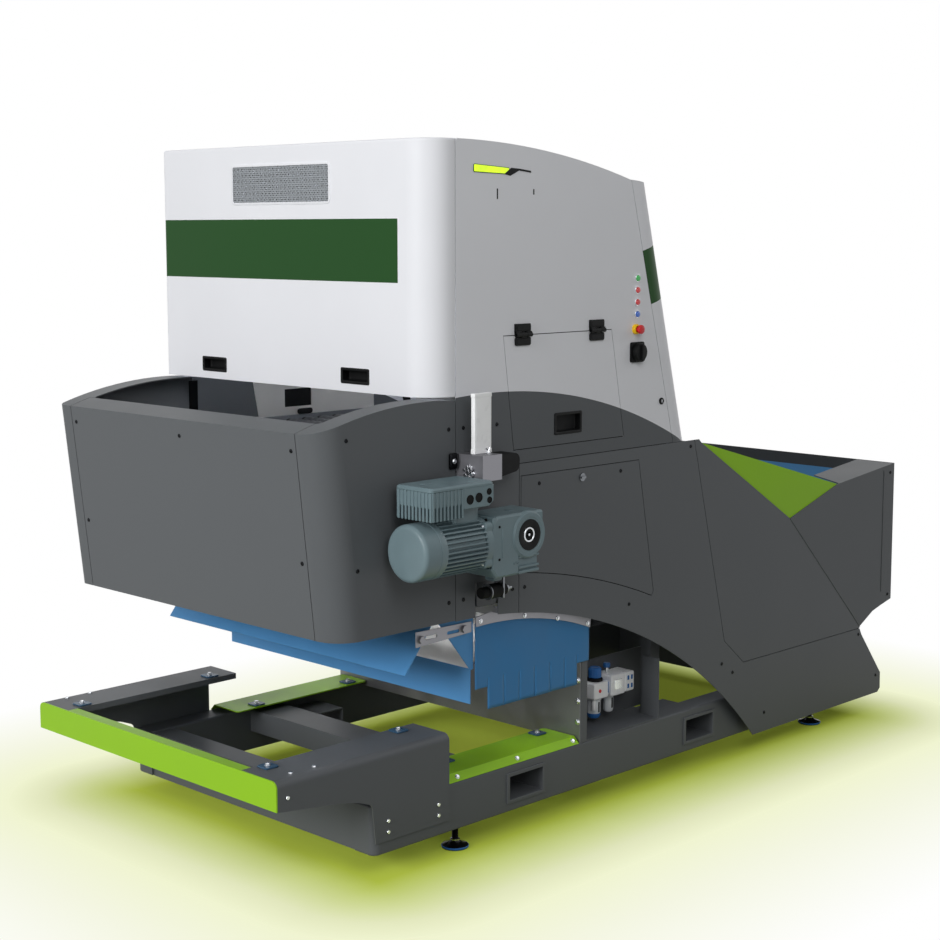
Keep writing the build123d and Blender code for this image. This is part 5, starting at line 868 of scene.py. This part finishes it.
class GRADER_OT_curtain(bpy.types.Operator):
    """Blue sheet with slits, hung behind the arched strip"""

    bl_idname = "grader.curtain"
    bl_label = "Curtain"

    SLITS = (195.0, 277.0, 359.0, 441.0, 523.0)
    LEFT, RIGHT, STEP_LEFT, STEP_RIGHT = 47.0, 660.0, 111.0, 592.0
    LOW, END_LOW, SLIT_TOP = 495.0, 577.0, 610.0
    ARC = ((47.0, 817.0), (290.0, 809.0), (660.0, 716.0))

    def execute(self, context):
        y = span("curtain")[0][1] + 2.0
        edges = [self.LEFT, self.STEP_LEFT, *self.SLITS, self.STEP_RIGHT, self.RIGHT]
        sheet = Form()
        for strip, (left, right) in enumerate(zip(edges, edges[1:])):
            outer = right <= self.STEP_LEFT or left >= self.STEP_RIGHT
            low = self.END_LOW if outer else self.LOW
            points = self.strip(left, right, low, strip, context.scene.grader_sizes)
            points[:, :, 1] += y
            sheet.grid(points, wrap_v=False)
        made = sheet.piece("slit_curtain", "machine", [FINISH["curtain"]], ["curtain"])
        wall = made.modifiers.new("thickness", "SOLIDIFY")
        wall.thickness = 3.0 * MM
        wall.offset = 0.0
        return {"FINISHED"}

    def strip(self, left, right, low, number, sizes):
        """Grid between two slits: below the slit tops it narrows by half the slit and curls a little out of plane."""
        x = np.linspace(left, right, 9)
        rows = np.concatenate([np.linspace(low, self.END_LOW, 7)[:-1] if low < self.END_LOW else [],
                               np.linspace(self.END_LOW, self.SLIT_TOP, 9)[:-1]])
        top = arch_height(self.ARC, x)
        share = np.linspace(0, 1, 9)[:, None]
        upper = self.SLIT_TOP + share * (top - self.SLIT_TOP)
        z = np.concatenate([np.repeat(rows[:, None], len(x), axis=1), upper])
        free = np.clip((self.SLIT_TOP - z) / (self.SLIT_TOP - self.LOW), 0, 1)
        middle = (left + right) / 2
        narrow = x + (middle - x) / (right - left) * 2 * sizes.slit_gap * 500 * (free > 0)
        curl = free ** 1.6 * sizes.curtain_wave * 1000 * np.sin(2.4 * number + 1.0 + (x - left) / 60)
        return np.stack([narrow, curl, z], axis=2)


class GRADER_OT_air(bpy.types.Operator):
    """Compressed-air service unit with its bowls and pressure knob"""

    bl_idname = "grader.air"
    bl_label = "Air service unit"

    def execute(self, context):
        low, high = span("air_unit")
        y = (low[1] + high[1]) / 2
        unit = Form()
        for left, right, bottom, top, ease in ((819, 903, 367, 433, 4), (917, 1001, 365, 449, 0),
                                               (1004, 1058, 368, 447, 1)):
            unit.prism(rectangle(right - left, top - bottom, 7, ((left + right) / 2, (top + bottom) / 2)),
                       (0, high[1] - ease, 0), ALONG_X, ALONG_Z, high[1] - low[1] - 2 * ease, 4)
        unit.slab((900, y - 30, 378), (920, y + 30, 424), 2, 3)
        unit.prism(rectangle(46, 40, 5, (958, 409)), (0, low[1] + 1, 0), ALONG_X, ALONG_Z, 3, 1, 4)
        unit.lathe([(0, 0), (7, 0), (7, 2), (6, 3), (0, 3)], (851, low[1] + 4, 400), TO_NEAR, 24, 5)
        for x, z in ((1020, 424), (1042, 424), (1020, 390), (1042, 390)):
            unit.slab((x - 5, low[1] - 1, z - 9), (x + 5, low[1] + 4, z + 9), 1, 3)
        unit.lathe([(0, 0), (31, 0), (31, 10), (29, 12.5), (12, 12.5)], (867, y, 432), ALONG_Z, 40, 2)
        bowl = [(30, 0), (30, -8), (27, -10), (27, -58), (25, -64), (18, -68)]
        unit.lathe(bowl, (862, y, 367), ALONG_Z, 40, 1)
        unit.lathe([(26, -62), (26, -72), (22, -80), (12, -84), (0, -86)], (862, y, 367), ALONG_Z, 40, 3)
        small = [(23, 0), (23, -8), (20.5, -10), (20.5, -62), (17, -70), (8, -74), (0, -75)]
        unit.lathe(small, (950, y, 365), ALONG_Z, 36, 1)
        unit.lathe([(8.5, 0), (8.5, -40), (7, -44), (0, -46)], (834, y - 24, 367), ALONG_Z, 20, 0)
        for x, radius in ((862, 27), (950, 20.5)):
            unit.slab((x - 4, y - radius - 1.2, 310), (x + 4, y - radius + 2, 352), 1, 2)
        unit.lathe([(0, 0), (4, 0), (4, 32), (0, 32)], (938, y, 447), ALONG_Z, 16, 4)
        flutes = 1 + 0.045 * np.cos(np.arange(48) * 2 * np.pi / 48 * 12)
        unit.lathe([(0, 27), (12, 27), (14, 30), (14, 41), (12, 45), (0, 46)], (938, y, 447), ALONG_Z, 48, 3, flutes)
        unit.piece("service_unit", "machine", [FINISH["white_plastic"], FINISH["bowl"], FINISH["black"],
                                               FINISH["blue_plastic"], FINISH["plate"], FINISH["red"]],
                   ["air_unit"])
        low, high = span("regulator_knob")
        spot = ((low[0] + high[0]) / 2, (low[1] + high[1]) / 2, low[2])
        tall, radius = high[2] - low[2], (high[0] - low[0]) / 2
        knob = Form()
        neck = 446 - low[2]
        knob.lathe([(0, 0), (9, 0), (9, neck), (radius - 3, neck)], spot, ALONG_Z, 48)
        knob.lathe([(radius - 3, neck), (radius - 1, neck + 2), (radius - 1, tall - 7), (radius - 3, tall - 2.5),
                    (radius - 7, tall), (radius - 12, tall), (radius - 13, tall - 1.5), (0, tall - 1.5)],
                   spot, ALONG_Z, 96, 0, 1 + 0.03 * np.cos(np.arange(96) * 2 * np.pi / 96 * 24))
        knob.piece("pressure_knob", "regulator", [FINISH["blue_plastic"]], ["regulator_knob"])
        return {"FINISHED"}


class GRADER_OT_controls(bpy.types.Operator):
    """Lit buttons, emergency stop, main switch and cabinet lock"""

    bl_idname = "grader.controls"
    bl_label = "Controls"

    CAPS = (("button_start", "start_cap", "start", "cap_green"), ("button_halt", "halt_cap", "halt", "cap_red"),
            ("button_fault", "fault_cap", "halt", "cap_red"), ("button_reset", "reset_cap", "reset", "cap_blue"))

    def execute(self, context):
        bezels = Form()
        for node_name, body, finish, slot in self.CAPS:
            low, high = span(node_name)
            spot = ((low[0] + high[0]) / 2, -SIDE, (low[2] + high[2]) / 2)
            bezels.lathe([(11.5, 0), (11.5, 3.6), (12.2, 4.8), (13.2, 5), (14.2, 4.2), (14.5, 2.5), (14.5, 0)], spot,
                         TO_NEAR, 36)
            cap = Form()
            cap.lathe([(11, 4), (11, 6.8), (10.2, 8.6), (8, 9.5), (4, 9.9), (0, 10)], spot, TO_NEAR, 32)
            cap.lathe([(0, 4), (11, 4)], spot, TO_NEAR, 32)
            cap.piece(body.replace("cap", "lens"), body, [FINISH[finish]], [node_name])
        bezels.piece("button_rings", "machine", [FINISH["chrome"]], ["button_bezels"])
        self.stop()
        self.switch()
        self.locks()
        return {"FINISHED"}

    def stop(self):
        """Yellow collar with a stepped rim, and a red mushroom head on a stem."""
        low, high = span("stop_collar")
        spot = ((low[0] + high[0]) / 2, -SIDE, (low[2] + high[2]) / 2)
        collar = Form()
        radius, lift = (high[0] - low[0]) / 2, high[1] - low[1]
        collar.lathe([(12, 0), (radius, 0), (radius, lift - 3), (radius - 1, lift - 1.5), (radius - 3, lift),
                      (13, lift), (12, lift - 1), (12, 0)], spot, TO_NEAR, 48)
        collar.piece("stop_ring", "machine", [FINISH["yellow"]], ["stop_collar"])
        head = Form()
        low, high = span("stop_button")
        far, near = -SIDE - high[1], -SIDE - low[1]
        share = np.linspace(0, 1, 7)
        radius = (high[0] - low[0]) / 2
        crown = np.stack([radius * (1 - 0.4 * share ** 2.2), near - 6 + 5 * np.sin(share * np.pi / 2)], axis=1)
        stalk = [(0, far), (10, far), (10, near - 14), (radius - 3, near - 13), (radius, near - 11)]
        head.lathe(np.concatenate([stalk, crown, [(radius * 0.4, near), (0, near)]]), spot, TO_NEAR, 48)
        head.piece("stop_head", "stop_cap", [FINISH["red"]], ["stop_button"])

    def switch(self):
        """Round knob with a raised grip bar, before a framed square plate."""
        low, high = span("switch_knob")
        x, z = (low[0] + high[0]) / 2, (low[2] + high[2]) / 2
        far, near = -SIDE - high[1], -SIDE - low[1]
        knob = Form()
        radius = (high[0] - low[0]) / 2
        face = near - 10
        knob.lathe([(0, far), (10, far), (10, 8.6), (radius - 1, 8.6), (radius, 9.6), (radius, face - 4),
                    (radius - 2, face - 1), (radius - 7, face), (0, face)], (x, -SIDE, z), TO_NEAR, 48)
        grip = rounded([(-7, 3 - radius), (7, 3 - radius), (5.4, radius - 3), (-5.4, radius - 3)], 4)
        knob.prism(grip + (x, z), (0, 1 - SIDE - face, 0), ALONG_X, ALONG_Z, 11, 2)
        knob.piece("switch_handle", "main_switch", [FINISH["black"]], ["switch_knob"])

    def locks(self):
        """Turned barrel with a key slot."""
        low, high = span("cabinet_lock")
        spot = ((low[0] + high[0]) / 2, -SIDE - 0.3, (low[2] + high[2]) / 2)
        lock = Form()
        lock.lathe([(0, 0), (13, 0), (13, 3), (11.5, 5.4), (8.6, 6), (8, 4.6), (0, 4.6)], spot, TO_NEAR, 36)
        lock.slab((spot[0] - 1.4, spot[1] - 5.4, spot[2] - 6), (spot[0] + 1.4, spot[1] - 4, spot[2] + 6), 0.4, 1)
        lock.piece("lock_barrel_face", "lock_barrel", [FINISH["black"], FINISH["plate"]], ["cabinet_lock"])


class GRADER_OT_hinges(bpy.types.Operator):
    """Black moulded door hinges: a fixed upper leaf and a lower leaf on the door"""

    bl_idname = "grader.hinges"
    bl_label = "Door hinges"

    AXIS_Y, AXIS_Z = -749.0, 1826.0

    def execute(self, context):
        places = [(points.min(axis=0) + points.max(axis=0))[0] / 2 for points in islands("door_hinges")]
        self.leaves("door_leaves", "door", places, -1, ["door_hinges"], [(-13, 13)])
        self.leaves("fixed_leaves", "machine", places, 1, (), [(-40, -14), (14, 40)])
        return {"FINISHED"}

    def leaves(self, name, body, places, side, stands_for, knuckles):
        """Rounded leaf with a raised field, below or above its knuckles."""
        form = Form()
        for x in places:
            edges = sorted((self.AXIS_Z + side * 9, self.AXIS_Z + side * 38))
            middle = (x, sum(edges) / 2)
            form.prism(rectangle(80, 29, 7, middle), (0, -SIDE - 0.2, 0), ALONG_X, ALONG_Z, 7.5, 2)
            form.prism(rectangle(66, 18, 5, middle), (0, -SIDE - 7, 0), ALONG_X, ALONG_Z, 2, 0.8)
            for left, right in knuckles:
                form.lathe([(0, left), (7, left), (8, left + 1), (8, right - 1), (7, right), (0, right)],
                           (x, self.AXIS_Y, self.AXIS_Z), ALONG_X, 24)
                form.prism(rectangle(right - left - 1, 12, 2, (x + (left + right) / 2, self.AXIS_Z + side * 6)),
                           (0, -SIDE - 1, 0), ALONG_X, ALONG_Z, 12, 2)
        form.piece(name, body, [FINISH["black"]], stands_for)


class GRADER_OT_grips(bpy.types.Operator):
    """Black recessed grips in the front cover and the door"""

    bl_idname = "grader.grips"
    bl_label = "Grips"

    def execute(self, context):
        front = Form()
        for y in (-370.0, 428.0):
            self.tray(front, (-218, y, 1685), (0, -1, 0), 140, 48, 33)
        front.piece("cover_grips", "front_cover", [FINISH["black"]], ())
        door = Form()
        self.tray(door, (480, -SIDE, 1497), (1, 0, 0), 142, 72, 27)
        door.piece("door_grip", "door", [FINISH["black"]], ())
        return {"FINISHED"}

    def tray(self, form, middle, right, width, height, depth):
        """Recess liner: one closed profile from the flange's rim over the lip, down the wall and across the floor."""
        right = np.array(right, float)
        up = np.array(ALONG_Z, float)
        out = np.cross(right, up)
        levels = [(-4, 0.1, 6), (-4, 1.6, 6), (-2.5, 2.6, 6), (4, 2.6, 5), (6, 1, 5), (7, -depth + 5, 4),
                  (11, -depth + 1.2, 4)]
        rings = []
        for away, lift, corner in levels:
            flat = rectangle(width - 2 * away, height - 2 * away, corner)
            rings.append(np.asarray(middle) + flat[:, :1] * right + flat[:, 1:] * up + out * lift)
        form.grid(np.stack(rings))
        form.cap(rings[-1])


class GRADER_OT_lens(bpy.types.Operator):
    """Status lens in its dark gasket, cable slots beside it, and the seals behind the door and the access panel"""

    bl_idname = "grader.lens"
    bl_label = "Status lens and seals"

    STRIP = ((-10.0, 2381.0), (142.0, 2377.0), (176.0, 2399.0), (-10.0, 2409.0))
    SLOTS = ((108.0, 2292.0, 2328.0), (291.0, 2310.0, 2329.0))
    DOOR = ((192.0, 1420.0), (798.0, 1420.0), (720.0, 1826.0), (138.0, 1826.0))
    PANEL = ((976.0, 784.0), (988.0, 802.0), (889.0, 1325.0), (231.0, 1328.0), (231.0, 978.0))
    PANEL_ARC = ((231.0, 978.0), (667.0, 889.0), (976.0, 784.0))

    def execute(self, context):
        lens = Form()
        outline = rounded(self.STRIP, [6, 5, 5, 6])
        lens.prism(outline, (0, -SIDE - 0.1, 0), ALONG_X, ALONG_Z, 2.6, 0.6, 1)
        lens.prism(inset(outline, 2.2), (0, -SIDE - 1, 0), ALONG_X, ALONG_Z, 3, 0.8)
        lens.piece("status_lens", "machine", [FINISH["lamp"], FINISH["lamp_rim"]], ["light_strip"])
        slots = Form()
        for x, low, high in self.SLOTS:
            slots.slab((x - 3, -SIDE - 0.6, low), (x + 3, -SIDE + 1, high), 0.3)
        slots.piece("cable_slots", "machine", [FINISH["rubber"]], ())
        seals = Form()
        x = np.linspace(self.PANEL_ARC[0][0], self.PANEL_ARC[2][0], 24)[1:-1]
        curve = np.stack([x, arch_height(self.PANEL_ARC, x)], axis=1)
        for outline in (rounded(self.DOOR, 6), np.concatenate([self.PANEL, curve])):
            path = np.concatenate([outline, outline[:1]])
            path = np.stack([path[:, 0], np.full(len(path), -SIDE + 9.5), path[:, 1]], axis=1)
            seals.tube(path, 6, 10)
        seals.piece("panel_seals", "machine", [FINISH["rubber"]], ())
        return {"FINISHED"}


class GRADER_OT_viewing(bpy.types.Operator):
    """Cameras with their lenses, and lamp bars that light the crops under the hood"""

    bl_idname = "grader.viewing"
    bl_label = "Viewing gear"

    WINDOW_LOW, WINDOW_HIGH = (140, 463, 1486), (288, 466, 1570)
    LATCH_MIDDLE, LATCH_Y = (245, 1472), 458

    def execute(self, context):
        gear = Form()
        for points in islands("cameras"):
            low, high = points.min(axis=0), points.max(axis=0)
            middle = (low + high) / 2
            if high[1] - low[1] > 500:
                gear.slab(low + (0, 0, 8), high, 4)
                gear.slab((low[0] + 8, low[1] + 20, low[2]), (high[0] - 8, high[1] - 20, low[2] + 12), 3, 1)
            else:
                gear.slab((low[0], low[1], low[2] + 50), high, 4)
                gear.lathe([(20, 50), (20, 40), (24, 38), (24, 2), (22, 0), (18, 0), (17, 6), (0, 8)],
                           (middle[0], middle[1], low[2]), ALONG_Z, 32, 0)
        gear.piece("viewing_gear", "machine", [FINISH["black"], FINISH["tube"]], ["cameras"])
        liner = Form()
        liner.slab(self.WINDOW_LOW, self.WINDOW_HIGH, 1)
        liner.prism(rectangle(78, 22, 10, self.LATCH_MIDDLE), (0, self.LATCH_Y, 0), ALONG_X, ALONG_Z, 8, 3)
        liner.piece("window_liner", "machine", [FINISH["black"]], ())
        return {"FINISHED"}


class GRADER_OT_vent(bpy.types.Operator):
    """Finely perforated sheet over the vent of the front cover"""

    bl_idname = "grader.vent"
    bl_label = "Vent"

    MIDDLE_Y, MIDDLE_Z, WIDTH, HEIGHT = 28.0, 2351.0, 548.0, 140.0
    FACE = -218.0

    def execute(self, context):
        pitch = context.scene.grader_sizes.vent_pitch * 1000
        vent = Form()
        rows = int(self.HEIGHT / (pitch * 0.866)) + 1
        columns = int(self.WIDTH / pitch) + 1
        row, column = np.meshgrid(np.arange(rows), np.arange(columns), indexing="ij")
        y = (column + 0.5 * (row % 2) - (columns - 0.5) / 2) * pitch
        z = (row - (rows - 1) / 2) * pitch * 0.866
        inside = (np.abs(y) < self.WIDTH / 2 - pitch * 0.4) & (np.abs(z) < self.HEIGHT / 2 - pitch * 0.4)
        spots = np.stack([y[inside], z[inside]], axis=1)
        cell = circle(pitch / 1.732, 6, np.pi / 6)
        hole = circle(pitch * 0.37, 6, np.pi / 6)
        levels = [(cell, 0.3), (cell, 1.3), (hole, 1.3), (hole, 0.3)]
        one = np.stack([np.concatenate([np.full((6, 1), -lift), ring], axis=1) for ring, lift in levels])
        shift = np.array([self.FACE, self.MIDDLE_Y, self.MIDDLE_Z])
        mesh = Form()
        mesh.grid(one, wrap_u=False)
        vent.copies(mesh, np.concatenate([np.zeros((len(spots), 1)), spots], axis=1) + shift)
        self.rim(vent)
        vent.piece("vent_screen", "front_cover", [FINISH["screen"], FINISH["white"]], ())
        return {"FINISHED"}

    def rim(self, form):
        """Flat frame whose inner edge laps the outer holes."""
        levels = [(-3, 0.0), (-3, 1.8), (-2, 2.4), (5, 2.4), (6, 1.2)]
        rings = []
        for away, lift in levels:
            flat = rectangle(self.WIDTH - 2 * away, self.HEIGHT - 2 * away, 14 - away)
            face = np.full((len(flat), 1), self.FACE - lift)
            rings.append(np.concatenate([face, flat + (self.MIDDLE_Y, self.MIDDLE_Z)], axis=1))
        form.grid(np.stack(rings), finish=1)


class GRADER_OT_seams(bpy.types.Operator):
    """Fold and rear seam of the hopper's flared sides"""

    bl_idname = "grader.seams"
    bl_label = "Hopper seams"

    FOLD = ((1904.0, 978.0), (2473.0, 420.0))
    REAR = ((2578.0, 1120.0), (2620.0, 560.0))
    RADIUS, PROUD = 1.8, 0.6

    def execute(self, context):
        seams = Form()
        points = np.concatenate(islands("hopper_sides"))
        rim = points[points[:, 1].argmin()]
        flare = (-SIDE - rim[1]) / self.off_fold(rim[0], rim[2])
        for path in (self.FOLD, self.REAR):
            seams.tube([(x, -SIDE - flare * self.off_fold(x, z) - self.PROUD, z) for x, z in path], self.RADIUS, 8)
        seams.mirrored()
        seams.piece("hopper_seams", "machine", [FINISH["iron"]], ())
        return {"FINISHED"}

    def off_fold(self, x, z):
        """Distance from the fold, in the side's plane."""
        (x1, z1), (x2, z2) = self.FOLD
        return abs((x2 - x1) * (z1 - z) - (x1 - x) * (z2 - z1)) / math.hypot(x2 - x1, z2 - z1)


class GRADER_OT_rollers(bpy.types.Operator):
    """Ribbed carrier rollers of the conveyor with their end caps and pins"""

    bl_idname = "grader.rollers"
    bl_label = "Carrier rollers"

    def execute(self, context):
        groups = islands("carrier_rollers")
        low, high = groups[0].min(axis=0), groups[0].max(axis=0)
        radius, half = (high[2] - low[2]) / 2, high[1]
        steps = np.linspace(-half + 16, half - 16, 75)
        bead = radius - 1.6 + 1.6 * np.cos(np.arange(75) * 2 * np.pi / 3)
        core = radius - 6
        tyre = np.concatenate([[(core, -half + 12)], np.stack([bead, steps], axis=1), [(core, half - 12)]])
        roller = Form()
        roller.lathe(tyre, (0, 0, 0), ALONG_Y, 18, 0)
        for side in (-1, 1):
            cap = [(core, side * (half - 12)), (radius - 3, side * (half - 11)), (radius - 3, side * (half - 4)),
                   (radius - 8, side * (half - 1)), (10, side * (half - 1)), (9, side * half), (0, side * half)]
            roller.lathe(cap, (0, 0, 0), ALONG_Y, 18, 1)
        rollers = Form()
        rollers.copies(roller, [(points.min(axis=0) + points.max(axis=0)) / 2 for points in groups])
        rollers.piece("conveyor_rollers", "machine", [FINISH["roller"], FINISH["black"]], ["carrier_rollers"])
        return {"FINISHED"}


class GraderSizes(bpy.types.PropertyGroup):
    """Sizes of the fine detail."""

    fin_count: IntProperty(name="Motor fins", description="Fins round the stator", default=36, min=12, max=60)
    rib_pitch: FloatProperty(name="Inverter ribs", description="Distance between the inverter's ribs", unit="LENGTH",
                             default=0.0165, min=0.01, max=0.04)
    vent_pitch: FloatProperty(name="Vent holes", description="Distance between the vent's holes", unit="LENGTH",
                              default=0.0085, min=0.006, max=0.03)
    slit_gap: FloatProperty(name="Slit", description="Width of the curtain's slits", unit="LENGTH", default=0.001,
                            min=0.0, max=0.01)
    curtain_wave: FloatProperty(name="Curtain wave", description="How far the curtain's strips curl", unit="LENGTH",
                                default=0.0015, min=0.0, max=0.02)


def seen_ray(tree):
    """1 for rays from the camera, straight or by a mirror or a clear piece."""
    path = node(tree, "ShaderNodeLightPath").outputs
    seen = node(tree, "ShaderNodeMath", {0: path["Is Camera Ray"], 1: path["Is Glossy Ray"]}, operation="MAXIMUM")
    seen = node(tree, "ShaderNodeMath", {0: seen.outputs[0], 1: path["Is Transmission Ray"]}, operation="MAXIMUM")
    return seen.outputs[0]


class GRADER_OT_stage(bpy.types.Operator):
    """Pale floor, soft lamps and the camera of the picture"""

    bl_idname = "grader.stage"
    bl_label = "Stage"

    def execute(self, context):
        scene = context.scene
        self.floor()
        self.lamps(scene)
        self.camera(scene)
        scene.view_settings.view_transform = "Standard"
        return {"FINISHED"}

    def floor(self):
        """Flat square, shaded by the machine near it, whose tint runs out into white with distance; the lime tint at
        the machine's footprint is painted shadow colour over the real shade, and the glow that grows with distance
        sets by place how far the shade reaches.
        """
        mesh = bpy.data.meshes.new("floor")
        half = FLOOR_HALF
        mesh.from_pydata([(-half, -half, 0), (half, -half, 0), (half, half, 0), (-half, half, 0)], [], [(0, 1, 2, 3)])
        made = bpy.data.materials.new("studio_floor")
        made.use_nodes = True
        tree = made.node_tree
        tree.nodes.clear()
        where = node(tree, "ShaderNodeTexCoord").outputs["Object"]
        shift = node(tree, "ShaderNodeVectorMath", {0: where, 1: FLOOR_MIDDLE}, operation="SUBTRACT")
        away = node(tree, "ShaderNodeVectorMath", {0: shift.outputs[0]}, operation="ABSOLUTE")
        past = node(tree, "ShaderNodeVectorMath", {0: away.outputs[0], 1: FLOOR_REACH}, operation="SUBTRACT")
        past = node(tree, "ShaderNodeVectorMath", {0: past.outputs[0], 1: (0, 0, 0)}, operation="MAXIMUM")
        reach = node(tree, "ShaderNodeVectorMath", {0: past.outputs[0]}, operation="LENGTH").outputs["Value"]
        # Painted shadow edge: the glow's share rises from 0.08 at the footprint to 1 half a metre out, so the real
        # shade fades out by place
        fade = node(tree, "ShaderNodeMapRange", {"Value": reach, "From Max": 0.5, "To Min": 0.08})
        far = node(tree, "ShaderNodeMapRange", {"Value": reach, "From Max": FLOOR_FADE})
        tint = node(tree, "ShaderNodeValToRGB", {"Fac": far.outputs["Result"]})
        for stop, (distance, hexa) in enumerate(FLOOR_SHADOW_TINTS):
            ramp = tint.color_ramp.elements
            element = ramp[stop] if stop < 2 else ramp.new(1.0)
            element.position = distance / FLOOR_FADE
            element.color = [*linear(hexa), 1]
        shaded = node(tree, "ShaderNodeBsdfDiffuse", {"Color": tint.outputs["Color"]})
        glow = node(tree, "ShaderNodeEmission", {"Color": tint.outputs["Color"]})
        view = node(tree, "ShaderNodeMixShader",
                    {0: fade.outputs["Result"], 1: shaded.outputs[0], 2: glow.outputs[0]})
        plain = node(tree, "ShaderNodeBsdfDiffuse", {"Color": [*linear("#a4a6a0"), 1]})
        mixed = node(tree, "ShaderNodeMixShader", {0: seen_ray(tree), 1: plain.outputs[0], 2: view.outputs[0]})
        node(tree, "ShaderNodeOutputMaterial", {"Surface": mixed.outputs[0]})
        mesh.materials.append(made)
        floor = bpy.data.objects.new("floor", mesh)
        bpy.context.scene.collection.objects.link(floor)

    def lamps(self, scene):
        """Large soft lamps and an even world; the world is white where the camera looks past the floor."""
        for name, spot, aim, size, power in STUDIO_LAMPS:
            light = bpy.data.lights.new(name, "AREA")
            light.shape = "DISK"
            light.size = size
            light.energy = power
            lamp = bpy.data.objects.new(name, light)
            lamp.location = spot
            lamp.rotation_euler = (Vector(aim) - Vector(spot)).to_track_quat("-Z", "Y").to_euler()
            scene.collection.objects.link(lamp)
        world = bpy.data.worlds.new("studio")
        scene.world = world
        world.use_nodes = True
        tree = world.node_tree
        tree.nodes.clear()
        even = node(tree, "ShaderNodeBackground", {"Color": [1, 1, 1, 1], "Strength": WORLD_LEVEL})
        white = node(tree, "ShaderNodeBackground", {"Color": [1, 1, 1, 1], "Strength": 1.0})
        mixed = node(tree, "ShaderNodeMixShader", {0: seen_ray(tree), 1: even.outputs[0], 2: white.outputs[0]})
        node(tree, "ShaderNodeOutputWorld", {"Surface": mixed.outputs[0]})

    def camera(self, scene):
        """Camera at the picture's height and heading."""
        data = bpy.data.cameras.new("camera")
        data.sensor_width = 36.0
        data.lens = data.sensor_width * FOCAL_PIXELS / PICTURE_PIXELS
        data.clip_end = 200
        camera = bpy.data.objects.new("camera", data)
        camera.location = place(CAMERA_SPOT)
        heading, pitch = math.radians(CAMERA_HEADING), math.radians(CAMERA_PITCH)
        look = Vector((math.cos(heading) * math.cos(pitch), math.sin(heading) * math.cos(pitch), -math.sin(pitch)))
        camera.rotation_euler = look.to_track_quat("-Z", "Y").to_euler()
        scene.collection.objects.link(camera)
        scene.camera = camera


# Camera of the picture, worked out from the machine's level and upright edges
PICTURE_PIXELS = 940
FOCAL_PIXELS = 1751.3
CAMERA_SPOT = (-4254.5, -4917.3, 2185.0)
CAMERA_HEADING = 44.643
CAMERA_PITCH = 7.777

# Studio
FLOOR_HALF = 40.0
FLOOR_MIDDLE, FLOOR_REACH, FLOOR_FADE = (0.1, 0.088, 0.0), (1.45, 0.7, 0.0), 1.4
# Lime near the footprint is painted shadow colour, running out into white with distance
FLOOR_SHADOW_TINTS = ((0.0, "#d9ec5a"), (0.35, "#eef3c8"), (0.8, "#f4f6e2"), (1.4, "#ffffff"))
WORLD_LEVEL = 0.19
STUDIO_LAMPS = (
    ("key", (-12.0, -0.6, 4.6), (-0.6, 0.0, 1.2), 5.0, 900.0),
    ("fill", (-3.5, -5.5, 5.0), (-0.3, -0.6, 1.4), 4.0, 110.0),
    ("top", (0.5, 0.5, 7.0), (0.0, 0.0, 0.0), 6.0, 25.0),
    ("right", (6.5, -3.5, 4.5), (1.2, 0.0, 1.0), 4.0, 60.0),
)

OPERATORS = (
    GRADER_OT_finishes,
    GRADER_OT_fasteners,
    GRADER_OT_pockets,
    GRADER_OT_feet,
    GRADER_OT_drive,
    GRADER_OT_lubricator,
    GRADER_OT_curtain,
    GRADER_OT_air,
    GRADER_OT_controls,
    GRADER_OT_hinges,
    GRADER_OT_grips,
    GRADER_OT_lens,
    GRADER_OT_viewing,
    GRADER_OT_vent,
    GRADER_OT_seams,
    GRADER_OT_rollers,
    GRADER_OT_stage,
)


class GRADER_PT_panel(bpy.types.Panel):
    """Sidebar panel with the colours and one button for each group of pieces"""

    bl_label = "Crop grading machine"
    bl_idname = "GRADER_PT_panel"
    bl_space_type = "VIEW_3D"
    bl_region_type = "UI"
    bl_category = "Grader"

    def draw(self, context):
        for group in (context.scene.grader_colours, context.scene.grader_sizes):
            for key in group.bl_rna.properties.keys():
                if key not in ("rna_type", "name"):
                    self.layout.prop(group, key)
        for operator in OPERATORS:
            self.layout.operator(operator.bl_idname)


CLASSES = (GraderColours, GraderSizes, *OPERATORS, GRADER_PT_panel)


def register():
    """Add the classes and the scene's property groups."""
    for item in CLASSES:
        bpy.utils.register_class(item)
    bpy.types.Scene.grader_colours = PointerProperty(type=GraderColours)
    bpy.types.Scene.grader_sizes = PointerProperty(type=GraderSizes)


def unregister():
    """Take them away again."""
    del bpy.types.Scene.grader_colours
    del bpy.types.Scene.grader_sizes
    for item in reversed(CLASSES):
        bpy.utils.unregister_class(item)


def main():
    """Dress the machine piece by piece and set the stage."""
    register()
    for operator in OPERATORS:
        group, name = operator.bl_idname.split(".")
        getattr(getattr(bpy.ops, group), name)()


if __name__ == "__main__":
    main()
